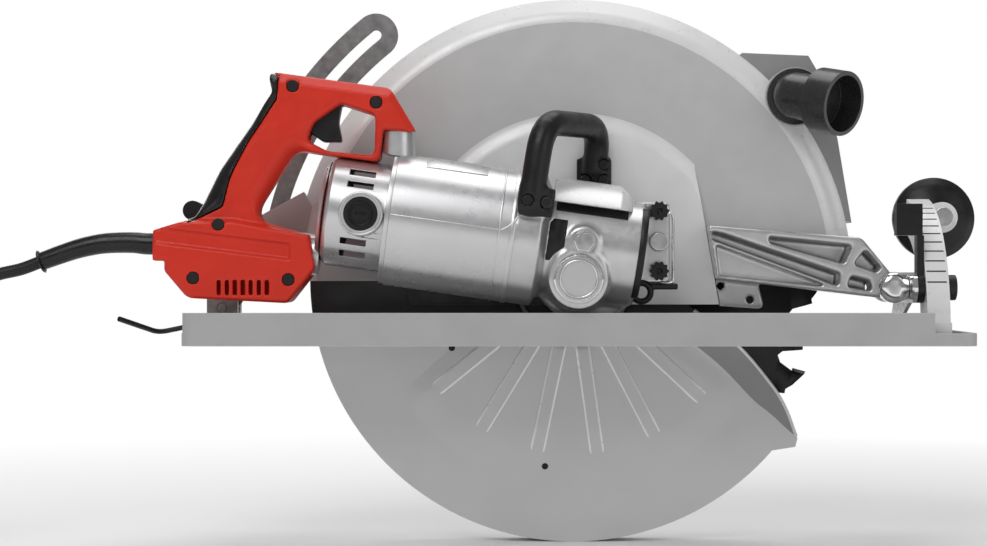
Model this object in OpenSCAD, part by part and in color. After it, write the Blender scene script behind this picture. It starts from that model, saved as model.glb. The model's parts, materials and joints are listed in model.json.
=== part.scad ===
// Worm drive circular saw with a large blade, swinging depth link and tilting foot.
// X runs forward, Y from the motor side to the blade side, Z up from the sole.
// The origin lies on the sole, under the arbor axis, in the plane of the motor axis.

/* [Blade] */
// Blade diameter over the tooth tips
blade_d = 414; // [380:1:440]
// Thickness of the blade plate
blade_t = 2.8; // [2:0.1:4]
// Number of teeth
blade_teeth = 32; // [24:1:48]
// Depth of a tooth gullet
gullet_depth = 26; // [14:1:32]
// Bore of the blade, which sits on the arbor
blade_bore = 25.4; // [20:0.2:30]

/* [Layout] */
// Height of the arbor over the sole at full depth
arbor_z = 52; // [48:1:60]
// Distance from the motor plane to the blade plane
blade_y = 88; // [86:1:100]
// Tilt of the motor, front end down
motor_tilt = 8; // [4:0.5:10]
// Largest bevel angle
bevel_range = 45; // [30:1:45]
// Largest depth swing of the head
depth_range = 22; // [12:1:24]
// Height of the bevel axis over the sole
bevel_z = 13.5; // [13:0.5:16]

/* [Guards] */
// Room between the tooth tips and the inside of the lower guard
tip_gap = 5.8; // [4:0.2:9]
// Wall of the lower guard's rim
lower_rim_t = 3; // [2:0.2:4]
// Plate thickness of the lower guard
lower_plate_t = 2.5; // [1.5:0.1:4]
// Wall of the upper guard
guard_wall = 4; // [3:0.2:6]
// Radial depth of the upper guard's rim outside the lower guard
guard_rim = 13; // [11:0.5:18]
// Width of the slanted band on the rim
band_w = 20; // [10:1:30]
// Radius of the raised plateau's flat face
plateau_r = 120; // [112:1:124]
// Height of the plateau
plateau_h = 7; // [4:0.5:7]

/* [Foot] */
// Length of foot in front of the depth pivot
foot_ahead = 56; // [50:1:80]
// Length of foot behind the upper guard
foot_behind = 78; // [74:1:100]
// Motor-side edge of the foot from the motor plane
foot_near = 37; // [30:1:60]
// Width of foot on the far side of the blade
foot_beyond = 46; // [42:1:70]
// Plate thickness of the foot
foot_t = 6; // [4:0.5:6]
// Height of the near rail
rail_h = 25.7; // [16:0.1:28]
// Thickness of the rails
rail_t = 5.5; // [4:0.5:6]
// Height of the low rails
low_rail_h = 10; // [8:0.5:12]
// Length of the low stretch at the front of the near rail
low_rail_len = 34; // [20:1:50]

/* [Bevel quadrant] */
// Outer radius of the quadrant
quad_r = 105; // [102:1:112]
// Radial width of the quadrant
quad_w = 28; // [26:1:34]
// Thickness of the quadrant along X
quad_t = 18; // [12:1:24]
// Radius of the front guide knob
knob_r = 34; // [24:1:38]

/* [Drive] */
// Centre distance of the worm and the wheel
worm_cd = 26; // [25.5:0.1:26.5]
// Teeth on the worm wheel
wheel_teeth = 19; // [19:1:19]
// Starts on the worm
worm_starts = 2; // [2:1:2]
// Pitch radius of the worm
worm_r = 9; // [8.5:0.1:9.5]
// Diameter of the arbor shaft
arbor_d = 20; // [18:0.5:22]

/* [Motor] */
// Outer radius of the motor housing
motor_r = 52; // [50:0.5:52]
// Wall of the motor housing
motor_wall = 4; // [3:0.5:5]
// Distance of the housing's front face behind the worm
motor_front = 55; // [52:1:60]
// Length of the motor housing
motor_len = 95; // [90:1:110]
// Length of the rear end bell
bell_len = 56; // [54:1:70]
// Diameter of the armature shaft
motor_shaft_d = 12; // [10:0.5:13]

/* [Handle] */
// Length of the rear handle
handle_len = 205; // [190:1:230]
// Height of the rear handle
handle_h = 183; // [175:1:190]
// Width of the grip
grip_w = 36; // [32:1:44]
// Width of the switch box under the grip
box_w = 52; // [44:1:60]
// Thickness of the carry handle's bar
carry_d = 20; // [16:0.5:24]

/* [Cord] */
// Diameter of the cord
cord_d = 10; // [10:0.5:10]
// Loops in the coil that holds the spare length
cord_loops = 7; // [7:1:7]

/* [Hidden] */
$fn = 72;
// Steps in a rounded corner
corner_steps = 5;
// Steps in a bent bar's bend
bend_steps = 6;
// Running gap between parts that move
gap = 0.3;
// Close gap of a pin or shaft in its bore
fit = 0.05;
// Overrun of cuts
over = 1;

// Blade and guard stack along Y, from the blade plane
tip_t = blade_t + 1.4;
tip_w = 2.6;
tooth_shares = [[0, 0], [0.2, -0.3], [0.34, -0.44], [0.3, -0.53], [0.55, -0.6],
    [0.9, -0.7], [1, -0.82], [0.85, -0.95], [0.4, -1.03]];
inner_flange_t = 7.6;
flange_out_t = 4.6;
flange_r = 36;
lower_half = 14;
guard_half_near = 24;
guard_half_far = 18;
cover_t = 4;
lower_r = blade_d / 2 + tip_gap + lower_rim_t;
lip_gap = 2.4;
upper_r = lower_r + guard_rim;
lip_r = lower_r + lip_gap;
wall_in_y = blade_y - guard_half_near;
wall_y = wall_in_y - guard_wall;
plateau_y = wall_y - plateau_h;
cover_y = blade_y + guard_half_far;
lower_y = blade_y - lower_half;
lower_far_y = blade_y + lower_half;
flange_in_y = blade_y - blade_t / 2 - inner_flange_t;
flange_out_y = blade_y + blade_t / 2;
floor_z = arbor_z - lower_r;

// Upper guard
guard_cut = 2;
band_slope_share = 0.8;
band_thin = 2;
plateau_slope = 15;
flank_shares = [[-1, -0.3], [-1, 1], [0.42, 1], [0.43, 0.39], [0.515, -0.1], [0.515, -0.3]];
plateau_low = 21;
cover_inner_share = 0.66;
cover_cut = 4;
boss_wall = 5;
boss_r = 32;
boss_len = 13;
chute_near = 16;
chute_shares = [[0.3, 0.55], [0.607, 0.81], [0.845, 0.8], [0.883, 0.735], [0.95, 0.5], [1, 0.2], [0.7, 0.3]];
chute_wall = 4;
chute_in_shares = [[0.3, 0.55], [0.62, 0.785], [0.83, 0.78], [0.862, 0.73], [0.93, 0.5], [0.97, 0.26],
    [0.7, 0.3]];
nozzle_share = [0.787, 0.647];
nozzle_r = 19;
nozzle_wall = 3;
nozzle_boss = 15.5;
nozzle_neck = 5;
nozzle_boss_r = 24;
nozzle_seat_t = 3.7;
nozzle_seat_r = 23;
nozzle_turn = 15;
nozzle_bend = 46;
nozzle_reach = 24;
collar_r = 26;
collar_len = 24;
collar_wall = 3.5;
depth_lug_shares = [[-1.19, 0.175], [-1.165, 0.2], [-0.965, 0.31], [-0.9, 0.2], [-0.93, 0.06], [-1.165,
    0.085]];
cover_screw_count = 9;
cover_screw_r = 2;
cover_screw_head_r = 4;
cover_screw_head = 2.6;
cover_screw_len = 8;
cover_arc = [14, 166];
lug_near = 18;
lug_far = 3.4;

// Lower guard: the front edge and the lip, in shares of its radius
front_edge_shares = [[0, 0], [0.3, 0.02], [0.46, -0.12], [0.626, -0.255], [0.75, -0.4], [0.806, -0.49],
    [0.853, -0.607]];
lip_shares = [[0.7, -0.5], [0.806, -0.49], [0.853, -0.607], [0.845, -0.64], [0.75, -0.655], [0.7, -0.65]];
rear_edge = 172;
far_inner_share = 0.55;
far_plate_t = 2;
hub_r = 44;
hub_len = 8;
flute_count = 8;
flute_angles = [-138, -42];
flute_r0_share = 0.27;
flute_r1_share = 0.66;
flute_w0 = 11;
flute_w1 = 3;
flute_h = 1.8;
drain_r = 2.4;
drain_shares = [[-0.466, -0.545], [-0.105, -0.975]];
lift_angle = 177;
lift_r_share = 0.6;
lift_r = 7;
lift_len = 22;
retainer_t = 1.6;
retainer_r = 37;
spring_r = 49;
spring_w = 3;
spring_len = 7;

// Front pivot, quadrant and bevel frame
pivot_ahead = 24;
pivot_x = upper_r + pivot_ahead;
pivot_z = 45;
pivot_d = 10;
eye_r = 9.5;
knuckle_r = 12;
plate_back = 11;
plate_t = 3;
plate_x = pivot_x + plate_back;
lever_hub_t = 5.4;
quad_x = plate_x + plate_t + lever_hub_t + 2 * gap;
ear_near_y = blade_y - 74;
eye_near_y = blade_y - 60;
eye_far_y = blade_y - 36;
ear_far_y = blade_y - 26;
clamp_angle = 20;
clamp_r = quad_r - 13;
clamp_d = 8;
clamp_y = blade_y - clamp_r * cos(clamp_angle);
clamp_z = bevel_z + clamp_r * sin(clamp_angle);
clamp_boss_r = 12;
clamp_head_r = 10;
clamp_head = 7;
slot_play = 0.4;
quad_from = 4;
quad_to = 80;
mark_step = 5;
mark_count = 10;
mark_w = 0.8;
mark_depth = 0.5;
mark_long_share = 0.8;
mark_short_share = 0.5;
base_near = 5;
base_h = 18;
pivot_pin_d = 8;
pivot_web = 2.7;
knob_ahead = 11;
knob_z = 102;
knob_hub_r = 12.5;
knob_hub_t = 10;
knob_y = blade_y - 20;
knob_len = 40;
knob_stem_r = 11;
knob_bore_share = 0.62;
knob_shares = [[0.8, 0.48], [1, 0.62], [1, 0.78], [0.8, 0.94], [0.4, 1], [0, 1]];
knob_stem_share = 0.3;
knob_bolt_d = 8;
knob_bolt_head = 6;
stop_d = 6;
stop_len = 16;
stop_angle = 4;
lever_h = 66;
lever_w = 13;
lever_grip_h = 25;
lever_grip_t = 20;
lever_lean = 16;

// Foot
slot_near = 38;
slot_far = 24;
slot_end = 10;
slot_r = 12;
foot_corner = 10;
rib_t = 5;
foot_x0 = -(upper_r + foot_behind);
foot_x1 = pivot_x + foot_ahead;
foot_y0 = -foot_near;
foot_y1 = blade_y + foot_beyond;
slot_half = lower_r + slot_end;

// Rear pivot and depth link
link_back = 59;
link_x = -(upper_r + link_back);
link_z = 28;
link_t = 6;
link_w = 36;
link_ratio = 0.5;
link_eye_r = 10;
link_pin_d = 8;
link_steps = 24;
carrier_half = 12.5;
carrier_w = 16;
carrier_h = 24;
carrier_low = 5;
lug_t = 5.6;
lug_w = 10;
lug_h = 9;
bolt_back = 30.4;
bolt_up = 31.7;
bolt_x = -(upper_r + bolt_back);
bolt_z = arbor_z + bolt_up;
bolt_d = 8;
bolt_head_r = 9;
bolt_head = 6;
depth_hub_t = 13;
depth_hub_r = 12;
depth_lever_len = 56;
depth_lever_dir = 155;
depth_lever_w = 16;
rod_d = 4.4;
rod_hub_t = 10;
rod_hub_r = 7;
rod_back = 24;
rod_drop = 6;
rod_end = [-26, -38, 12];
rod_bend = 8;
rod_sides = 10;

// Front arm, in shares of its length and of its height at the guard
arm_x0_share = 0.455;
arm_x0 = upper_r * arm_x0_share;
arm_len = pivot_x - arm_x0;
arm_h = 50;
arm_low = 7;
arm_web = 6;
arm_shares = [[0, 0.16, 0.08], [0, 1, 0.08], [0.84, 0.8, 0.2], [0.995, 0.24, 0], [1, -0.185, 0], [0.95,
    -0.17, 0.1]];
pocket_shares = [
    [[0.03, 0.9], [0.095, 0.86], [0.725, 0.22], [0.715, 0.02], [0.04, 0.76]],
    [[0.34, 0.81], [0.79, 0.67], [0.745, 0.38], [0.35, 0.71]],
    [[0.86, 0.6], [0.945, 0.33], [0.92, 0.24], [0.8, 0.37]],
    [[0.785, 0.18], [0.88, 0.11], [0.9, -0.06], [0.765, 0.01]]];
ear_shares = [[0.02, 0.2, 0.05], [0.3, 0.14, 0.05], [0.34, -0.36, 0.1], [0.06, -0.3, 0.1]];
ear_hole_shares = [[0.1, 0.02], [0.26, -0.2]];
ear_hole_d = 6;

// Drive train along the motor axis, from the worm
wheel_r = worm_cd - worm_r;
gear_module = 2 * wheel_r / wheel_teeth;
worm_lead = worm_starts * PI * gear_module;
lead_angle = atan(worm_lead / (2 * PI * worm_r));
backlash = 0.5;
flank = 20;
root_share = 1.2;
tip_share = 0.9;
worm_len = 40;
worm_slices = 48;
gear_sides = 16;
wheel_w = 12;
wheel_slices = 6;
wheel_room = 3;
worm_room = 2.6;
barrel_r = 40;
barrel_end = 48;
barrel_nose = 6;
adapter_flat = 21;
adapter_taper = 6;
neck_r = 43;
neck_up = 8;
boss_near_r = 23;
boss_near_y = 41;
near_bearing_r = 16;
near_bearing_w = 11;
near_journal_r = 7.5;
far_bearing_r = 23.5;
far_bearing_w = 12;
bolt_shank_r = 5;
bolt_shank_len = 18;
bolt_hex_r = 9.5;
bolt_hex_h = 8;
seat_run = 5;
cap_r = 19.2;
cap_t = 6;
cap_rim = 3;
cap_recess = 1.2;
plug_r = 8.6;
plug_hex_r = 7.6;
plug_up = 2.5;
plug_t = 4;
plug_hex_h = 6;
plug_seat_r = 12;
fairing_r = motor_r - 1;
fairing_up = 31;
fairing_room = 1.3;
fairing_from = -motor_front + adapter_flat + adapter_taper + fairing_room;
fairing_nose = [barrel_end - 24, barrel_end - 17, barrel_end - 13];
fairing_mid_r = 47;
front_plate_t = 7;
front_plate_shares = [[0.7, 0.92, 0], [0.7, 2.2, 0.1], [1.46, 2.2, 0.1], [1.46, 0.92, 0.1]];
thumb_shares = [[1.28, 2.06], [1.28, 1.12]];
thumb_r = 7;
thumb_lobes = 6;
thumb_core_share = 0.75;
thumb_lobe_share = 0.3;
thumb_h = 9;
thumb_stem_r = 3;
lock_share = [1.28, 1.58];
lock_r = 5;
lock_len = 16;
lock_head_r = 7;
lock_head = 4;
lock_travel = 4;

// Motor, from the worm back along its axis
bell_front = motor_front + motor_len;
bell_step = 9.5;
bell_rim = 1;
bell_flange = 4;
post_sink = 0.5;
bell_round = 8;
brush_boss_in = 13;
brush_tube_gap = 5;
rear_boss_over = 1;
bell_end = bell_front + bell_len;
core_r = 28;
core_gap = 1;
core_front = 30;
core_room = 40;
core_len = motor_len - core_room;
stator_over = 2;
comm_r = 17;
comm_len = 28;
neck_share = 0.7;
fan_r = 44;
fan_front = 8;
fan_t = 12;
fan_blades = 12;
fan_hub_r = 14;
fan_plate = 2;
fan_blade_t = 2.4;
rear_bearing_r = 13;
rear_bearing_w = 8;
front_bearing_r = 16;
front_bearing_w = 10;
worm_bearing_x = 41;
nose_bearing_r = 13;
nose_bearing_w = 8;
nose_journal_r = 5;
rear_journal_r = 5;
brush_back = 22;
brush_r = 8;
brush_tube_r = 12;
brush_cap_r = 13;
brush_cap_t = 7;
brush_boss_r = 17;
brush_boss_out = 3;
brush_slot_w = 8;
brush_slot_t = 2.2;
cap_dish = 1.5;
cap_dish_share = 0.72;
vent_rows = 2;
vent_h = 4.5;
vent_step = 9.6;
vent_up = 22;
vent_len = 20;
vent_back = 26;
tail_r = 16;
tail_share = 0.1967;
tail_down = tail_share * handle_h;
tail_back = 18;
post_r = 14;
post_in = 8;
post_back = bell_front - post_in;
post_top_share = 0.733;
pad_back = 40;
pad_len = 44;
pad_h = 26;

// Rear handle: outlines are shares of its length and height, the third value rounds a corner
handle_over = 81;
handle_lift = 0.6;
trigger_low_share = 0.69;
motor_top = arbor_z + worm_cd + motor_r + bell_end * sin(motor_tilt);
handle_x = -(bell_end + handle_len - handle_over);
handle_z = motor_top + handle_lift - trigger_low_share * handle_h;
handle_shares = [[0.434, 0.99, 0.05], [0.898, 0.918, 0.05], [1, 0.727, 0.015], [0.873, 0.738, 0],
    [0.858, 0.6, 0.03], [0.537, 0.652, 0.07], [0.371, 0.36, 0.06], [0.595, 0.29, 0.015], [0.615, 0.148, 0.03],
    [0.512, 0, 0.03], [0.132, 0.022, 0.06], [0.045, 0.137, 0.02], [0.045, 0.18, 0], [0, 0.18, 0.01],
    [0, 0.311, 0.01], [0.068, 0.333, 0.02], [0.161, 0.366, 0.03], [0.249, 0.568, 0.3], [0.405, 0.82, 0.2],
    [0.452, 0.9, 0.03]];
trigger_gap_shares = [[0.712, 0.85, 0.02], [0.842, 0.803, 0.03], [0.838, 0.628, 0.03], [0.66, 0.648, 0.06],
    [0.58, 0.694, 0.03], [0.61, 0.77, 0.05]];
pad_shares = [[0.37, 1.02, 0], [0.472, 0.97, 0.01], [0.468, 0.87, 0.03], [0.36, 0.69, 0.3], [0.29, 0.54, 0.3],
    [0.262, 0.41, 0.03], [0.13, 0.34, 0], [0.1, 0.5, 0]];
pad_proud = 0.7;
box_shares = [[-0.1, -0.1], [-0.1, 0.35], [0.3, 0.35], [0.7, 0.27], [0.7, -0.1]];
trigger_shares = [[0.7, 0.862, 0.01], [0.712, 0.852, 0.01], [0.698, 0.775, 0.1], [0.712, 0.69, 0.01],
    [0.64, 0.69, 0.03], [0.6, 0.72, 0.03], [0.56, 0.76, 0.02], [0.575, 0.85, 0.02]];
trigger_room_shares = [[0.716, 0.87], [0.716, 0.684], [0.603, 0.684], [0.56, 0.716], [0.5215, 0.757],
    [0.5365, 0.87]];
trigger_w = 17;
trigger_room = 0.6;
switch_shares = [[0.472, 0.7], [0.472, 0.84], [0.518, 0.84], [0.518, 0.7]];
switch_w = 20;
screw_shares = [[0.528, 0.925], [0.845, 0.855], [0.25, 0.335], [0.155, 0.107], [0.515, 0.1]];
grip_screws = 2;
screw_r = 2;
screw_head_r = 4.6;
screw_head = 3;
screw_sink = 3.5;
screw_reach = 10;
vent_slot_count = 7;
vent_slot_share = [0.245, 0.035];
vent_slot_step = 6.2;
vent_slot_w = 3;
vent_slot_h = 12;
vent_slot_depth = 3;

// Carry handle: ends of the bar
carry_near = [-37, -53, 110];
carry_near_top = [-27, -49, 172];
carry_far_top = [20, 40, 174];
carry_far = [16, 45, 140];
carry_bend = 22;
carry_sides = 16;
carry_pad_t = 7;
carry_pad_x = [-53, -27];
carry_pad_z = [17, 39];
seat_y = 49.5;
carry_far_x = [2, 30];
carry_far_z = [124, 149];
carry_screw_r = 2.5;
carry_head_r = 4.2;
carry_head = 3;
carry_reach = 8;
carry_near_shares = [[0.22, 0.5], [0.78, 0.5]];
carry_far_shares = [[0.24, 0.3], [0.76, 0.3], [0.76, 0.8]];

// Cord: the sleeve and the free run follow points chosen by hand
sleeve_d0 = 17.5;
sleeve_d1 = 14;
sleeve_lip_d = 19;
sleeve_sides = 12;
sleeve_route = [[-330, 0, 79.5], [-338, 0, 79.5], [-350, 0, 80.5], [-369, 0, 80], [-382, 0, 78],
    [-394, 0, 75], [-406, 0, 71], [-417, 0, 67]];
sleeve_lip = [[-417, 0, 67], [-421, 0, 65.5]];
cord_route = [[-421, 0, 65.5], [-437, 0, 59.5], [-456, 0, 55], [-474, 0, 47], [-491, 0, 35], [-505, 0, 19],
    [-516, 0, -2], [-524, 0, -26], [-530, 0, -52], [-532, 2, -78], [-532, 10, -104], [-532, 24, -126],
    [-532, 43, -143], [-532, 64, -153]];
run_sides = 8;
coil_sides = 6;
coil_rings = 24;
coil_pitch = 11;
layer_pitch = 11;
coil_lift = 1.8;
coil_out_r = 74.5;
coil_x = -606.5;
coil_y = 95;
coil_tail = 36;
coil_z = floor_z + coil_lift + cord_d / 2;
tie_w = 12;
tie_t = 1.2;
tie_gap = 0.4;
tie_bow = 0.6;
mains_plug_len = 44;
mains_neck = 14;
mains_pin_len = 21;
mains_pin_w = 6.4;
mains_pin_t = 1.6;
mains_pin_out = 6.4;
mains_earth_r = 2.4;
mains_earth_up = 8;

// Points and outlines
function unit(v) = v / norm(v);
function xy(p) = [p[0], p[1]];
function polar(r, a) = [r * cos(a), r * sin(a)];
function spun(p, a) = [p[0] * cos(a) - p[1] * sin(a), p[0] * sin(a) + p[1] * cos(a)];
function scaled(shares, size) = [for (s = shares) [s[0] * size[0], s[1] * size[1]]];
function placed(shares, from, size) =
    [for (s = shares) [from[0] + s[0] * size[0], from[1] + s[1] * size[1], s[2] * size[1]]];
function corner(a, b, c, r) =
    let (u = unit(a - b), v = unit(c - b), half = acos(u * v) / 2,
        mid = b + unit(u + v) * r / sin(half),
        s = b + u * r / tan(half) - mid, e = b + v * r / tan(half) - mid,
        from = atan2(s[1], s[0]), swing = atan2(e[1], e[0]) - from,
        by = swing > 180 ? swing - 360 : swing < -180 ? swing + 360 : swing)
    [for (i = [0:corner_steps]) mid + polar(r, from + by * i / corner_steps)];
function rounded(pts) =
    let (n = len(pts))
    [for (i = [0:n - 1])
        each (pts[i][2] > 0
            ? corner(xy(pts[(i + n - 1) % n]), xy(pts[i]), xy(pts[(i + 1) % n]), pts[i][2])
            : [xy(pts[i])])];
function handle_points(shares) = placed(shares, [handle_x, handle_z], [handle_len, handle_h]);

// Solids that lie along one axis
module y_cyl(y0, y1, r) { translate([0, y0, 0]) rotate([-90, 0, 0]) cylinder(h = y1 - y0, r = r); }
module x_cyl(x0, x1, r) { translate([x0, 0, 0]) rotate([0, 90, 0]) cylinder(h = x1 - x0, r = r); }
module y_slab(y0, y1) { translate([0, y1, 0]) rotate([90, 0, 0]) linear_extrude(y1 - y0) children(); }
module x_slab(x0, x1) { translate([x0, 0, 0]) rotate([90, 0, 90]) linear_extrude(x1 - x0) children(); }
module y_turned() { rotate([-90, 0, 0]) rotate_extrude() children(); }
module x_turned() { rotate([0, 90, 0]) rotate_extrude() children(); }
module sided(s) { mirror([0, s < 0 ? 1 : 0, 0]) children(); }
module at_arbor() { translate([0, 0, arbor_z]) children(); }
module at_pivot() { translate([pivot_x, 0, pivot_z]) children(); }
module at_bevel() { translate([0, blade_y, bevel_z]) children(); }
module at_motor() { at_arbor() rotate([0, motor_tilt, 0]) translate([0, 0, worm_cd]) children(); }
module span_box(x, y, z) { translate([x[0], y[0], z[0]]) cube([x[1] - x[0], y[1] - y[0], z[1] - z[0]]); }

// Tubes swept along a route, with points round a bend at b on the way from a to c
function bend(a, b, c, reach) =
    let (s = b + reach * unit(a - b), e = b + reach * unit(c - b))
    [for (i = [0:bend_steps]) let (t = i / bend_steps)
        (1 - t) * (1 - t) * s + 2 * t * (1 - t) * b + t * t * e];
function route_dir(p, i) = unit(p[min(i + 1, len(p) - 1)] - p[max(i - 1, 0)]);
function side_of(d) = unit(abs(d[2]) < 0.9 ? cross(d, [0, 0, 1]) : cross(d, [0, 1, 0]));
function ring_at(p, d, r, n, side) =
    let (b = cross(d, side)) [for (k = [0:n - 1]) p + r * (cos(360 * k / n) * side + sin(360 * k / n) * b)];
// A side vector that turns as little as possible from ring to ring
function sides_along(p, i, s) =
    i == len(p) ? [] :
    let (d = route_dir(p, i), t = unit(s - (s * d) * d)) concat([t], sides_along(p, i + 1, t));
module tube(p, radii, n) {
    m = len(p);
    sides = sides_along(p, 0, side_of(route_dir(p, 0)));
    pts = [for (i = [0:m - 1]) each ring_at(p[i], route_dir(p, i), radii[i], n, sides[i])];
    walls = [for (i = [0:m - 2]) for (k = [0:n - 1]) let (a = i * n + k, b = i * n + (k + 1) % n)
        each [[a, a + n, b], [b, a + n, b + n]]];
    caps = [for (k = [1:n - 2]) each [[0, k, k + 1], [(m - 1) * n, (m - 1) * n + k + 1, (m - 1) * n + k]]];
    polyhedron(pts, faces = concat(walls, caps));
}

// Foot and what stands on it
module foot_outline() {
    polygon(rounded([[foot_x0, foot_y0, foot_corner], [foot_x1, foot_y0, foot_corner],
        [foot_x1, foot_y1, foot_corner], [foot_x0, foot_y1, foot_corner]]));
}
module slot_outline() {
    polygon(rounded([[-slot_half, blade_y - slot_near, slot_r], [slot_half, blade_y - slot_near, slot_r],
        [slot_half, blade_y + slot_far, slot_r], [-slot_half, blade_y + slot_far, slot_r]]));
}
module pivot_lug(x0) {
    at_bevel() x_slab(x0, x0 + lug_t) {
        translate([-lug_w, foot_t - bevel_z]) square([2 * lug_w, bevel_z - foot_t]);
        circle(r = lug_h);
    }
}
module foot() {
    color("silver") difference() {
        union() {
            linear_extrude(foot_t) foot_outline();
            intersection() {
                linear_extrude(rail_h) foot_outline();
                union() {
                    span_box([foot_x0, foot_x1 - low_rail_len], [foot_y0, foot_y0 + rail_t], [0, rail_h]);
                    span_box([foot_x0, foot_x1], [foot_y0, foot_y0 + rail_t], [0, low_rail_h]);
                    span_box([foot_x0, foot_x1], [foot_y1 - rail_t, foot_y1], [0, low_rail_h]);
                    span_box([foot_x0, foot_x0 + rail_t], [foot_y0, foot_y1], [0, low_rail_h]);
                    span_box([foot_x1 - rail_t, foot_x1], [foot_y0, foot_y1], [0, low_rail_h]);
                }
            }
            span_box([-slot_half, slot_half], [blade_y - slot_near - rib_t, blade_y - slot_near], [0,
                low_rail_h]);
            pivot_lug(link_x - carrier_half - gap - lug_t);
            pivot_lug(link_x + carrier_half + gap);
        }
        translate([0, 0, -over]) linear_extrude(rail_h + 2 * over) slot_outline();
        at_bevel() x_cyl(foot_x0 - over, link_x + carrier_half + gap + lug_t + over, pivot_pin_d / 2 + fit);
    }
}
module ring_sector(r0, r1, a0, a1, steps = 24) {
    polygon(concat([for (i = [0:steps]) polar(r1, a0 + (a1 - a0) * i / steps)],
        [for (i = [steps:-1:0]) polar(r0, a0 + (a1 - a0) * i / steps)]));
}
module bevel_quadrant() {
    color("gainsboro") difference() {
        union() {
            intersection() {
                at_bevel() x_slab(quad_x, quad_x + quad_t)
                    difference() {
                        ring_sector(quad_r - quad_w, quad_r, 180 - quad_to, 180 + quad_from);
                        ring_sector(clamp_r - clamp_d / 2 - slot_play, clamp_r + clamp_d / 2 + slot_play,
                            180 - bevel_range - clamp_angle - quad_from, 180 - clamp_angle + quad_from);
                    }
                span_box([quad_x, quad_x + quad_t], [-quad_r, blade_y], [foot_t, bevel_z + quad_r]);
            }
            span_box([quad_x, quad_x + quad_t], [blade_y - quad_r - base_near, blade_y + lug_w],
                [foot_t, base_h]);
            at_bevel() x_cyl(quad_x, quad_x + quad_t, lug_h - pivot_web);
            y_slab(knob_y, knob_y + knob_hub_t) polygon([[quad_x, knob_z - knob_hub_r],
                [quad_x, knob_z + knob_hub_r / 2], [quad_x + quad_t + knob_ahead, knob_z + knob_hub_r],
                [quad_x + quad_t + knob_ahead, knob_z - knob_hub_r]]);
            translate([quad_x + quad_t + knob_ahead, 0, knob_z]) y_cyl(knob_y, knob_y + knob_hub_t,
                knob_hub_r);
        }
        at_bevel() x_cyl(quad_x - over, quad_x + quad_t + over, pivot_pin_d / 2 + fit);
        translate([quad_x + quad_t + knob_ahead, 0, knob_z])
            y_cyl(knob_y - over, knob_y + knob_hub_t + over, knob_bolt_d / 2 + fit);
        for (i = [0:mark_count - 1])
            at_bevel() rotate([-clamp_angle - i * mark_step, 0, 0]) translate([quad_x - over,
                -quad_r - over, -mark_w / 2])
                cube([over + quad_t * (i % 2 == 0 ? mark_long_share : mark_short_share),
                    over + mark_depth, mark_w]);
        at_bevel() rotate([-stop_angle, 0, 0]) translate([quad_x + quad_t / 2, -quad_r + quad_w / 2, -quad_r])
            cylinder(h = quad_r + stop_len / 2, r = stop_d / 2 + fit);
    }
}
module bevel_pivot_pins() {
    color("dimgray") at_bevel() {
        x_cyl(foot_x0 - gap - rod_hub_t, link_x + carrier_half + gap + lug_t, pivot_pin_d / 2);
        x_cyl(plate_x - gap, quad_x + quad_t, pivot_pin_d / 2);
    }
}
module front_knob() {
    y0 = knob_y + knob_hub_t;
    color("black") translate([quad_x + quad_t + knob_ahead, 0, knob_z]) difference() {
        y_turned() polygon(concat([[0, y0], [knob_stem_r, y0], [knob_stem_r,
            y0 + knob_len * knob_stem_share]],
            [for (s = knob_shares) [knob_r * s[0], y0 + knob_len * s[1]]]));
        y_cyl(y0 - over, y0 + knob_len * knob_bore_share, knob_bolt_d / 2 + fit);
    }
}
module knob_bolt() {
    color("gray") translate([quad_x + quad_t + knob_ahead, 0, knob_z]) {
        y_cyl(knob_y - knob_bolt_head, knob_y, knob_bolt_d);
        y_cyl(knob_y, knob_y + knob_hub_t + knob_len * knob_bore_share - over, knob_bolt_d / 2);
    }
}
module bevel_stop_screw() {
    color("black") at_bevel() rotate([-stop_angle, 0, 0])
        translate([quad_x + quad_t / 2, -quad_r + quad_w / 2, 0]) cylinder(h = stop_len / 2, r = stop_d / 2);
}

// Tilting frame
module front_knuckle() {
    color("lightgray") difference() {
        union() {
            x_slab(plate_x, plate_x + plate_t) {
                polygon([[blade_y - pivot_web, bevel_z - lug_h + pivot_web], [blade_y + pivot_web, bevel_z],
                    [blade_y, bevel_z + lug_h], [ear_far_y, pivot_z + knuckle_r], [clamp_y,
                        clamp_z + clamp_boss_r],
                    [clamp_y - clamp_boss_r, clamp_z], [clamp_y, clamp_z - clamp_boss_r], [ear_near_y,
                        pivot_z - knuckle_r]]);
                translate([blade_y, bevel_z]) circle(r = lug_h - pivot_web);
                translate([clamp_y, clamp_z]) circle(r = clamp_boss_r);
            }
            for (y = [[ear_near_y, eye_near_y - gap], [eye_far_y + gap, ear_far_y]]) at_pivot() {
                y_cyl(y[0], y[1], knuckle_r);
                span_box([0, plate_back], y, [-knuckle_r, knuckle_r]);
            }
        }
        at_pivot() y_cyl(ear_near_y - over, ear_far_y + over, pivot_d / 2 + fit);
        at_bevel() x_cyl(plate_x - over, plate_x + plate_t + over, pivot_pin_d / 2 + fit);
        translate([0, clamp_y, clamp_z]) x_cyl(plate_x - over, plate_x + plate_t + over, clamp_d / 2 + fit);
    }
}
module depth_pins() {
    color("gray") {
        at_pivot() y_cyl(ear_near_y, ear_far_y, pivot_d / 2);
        translate([link_x, 0, link_z]) y_cyl(blade_y - carrier_w, blade_y + carrier_w, link_pin_d / 2);
    }
}
module bevel_clamp_bolt() {
    color("black") translate([0, clamp_y, clamp_z]) {
        x_cyl(plate_x, quad_x + quad_t + gap, clamp_d / 2);
        x_cyl(quad_x + quad_t + gap, quad_x + quad_t + gap + clamp_head, clamp_head_r);
    }
}
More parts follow.
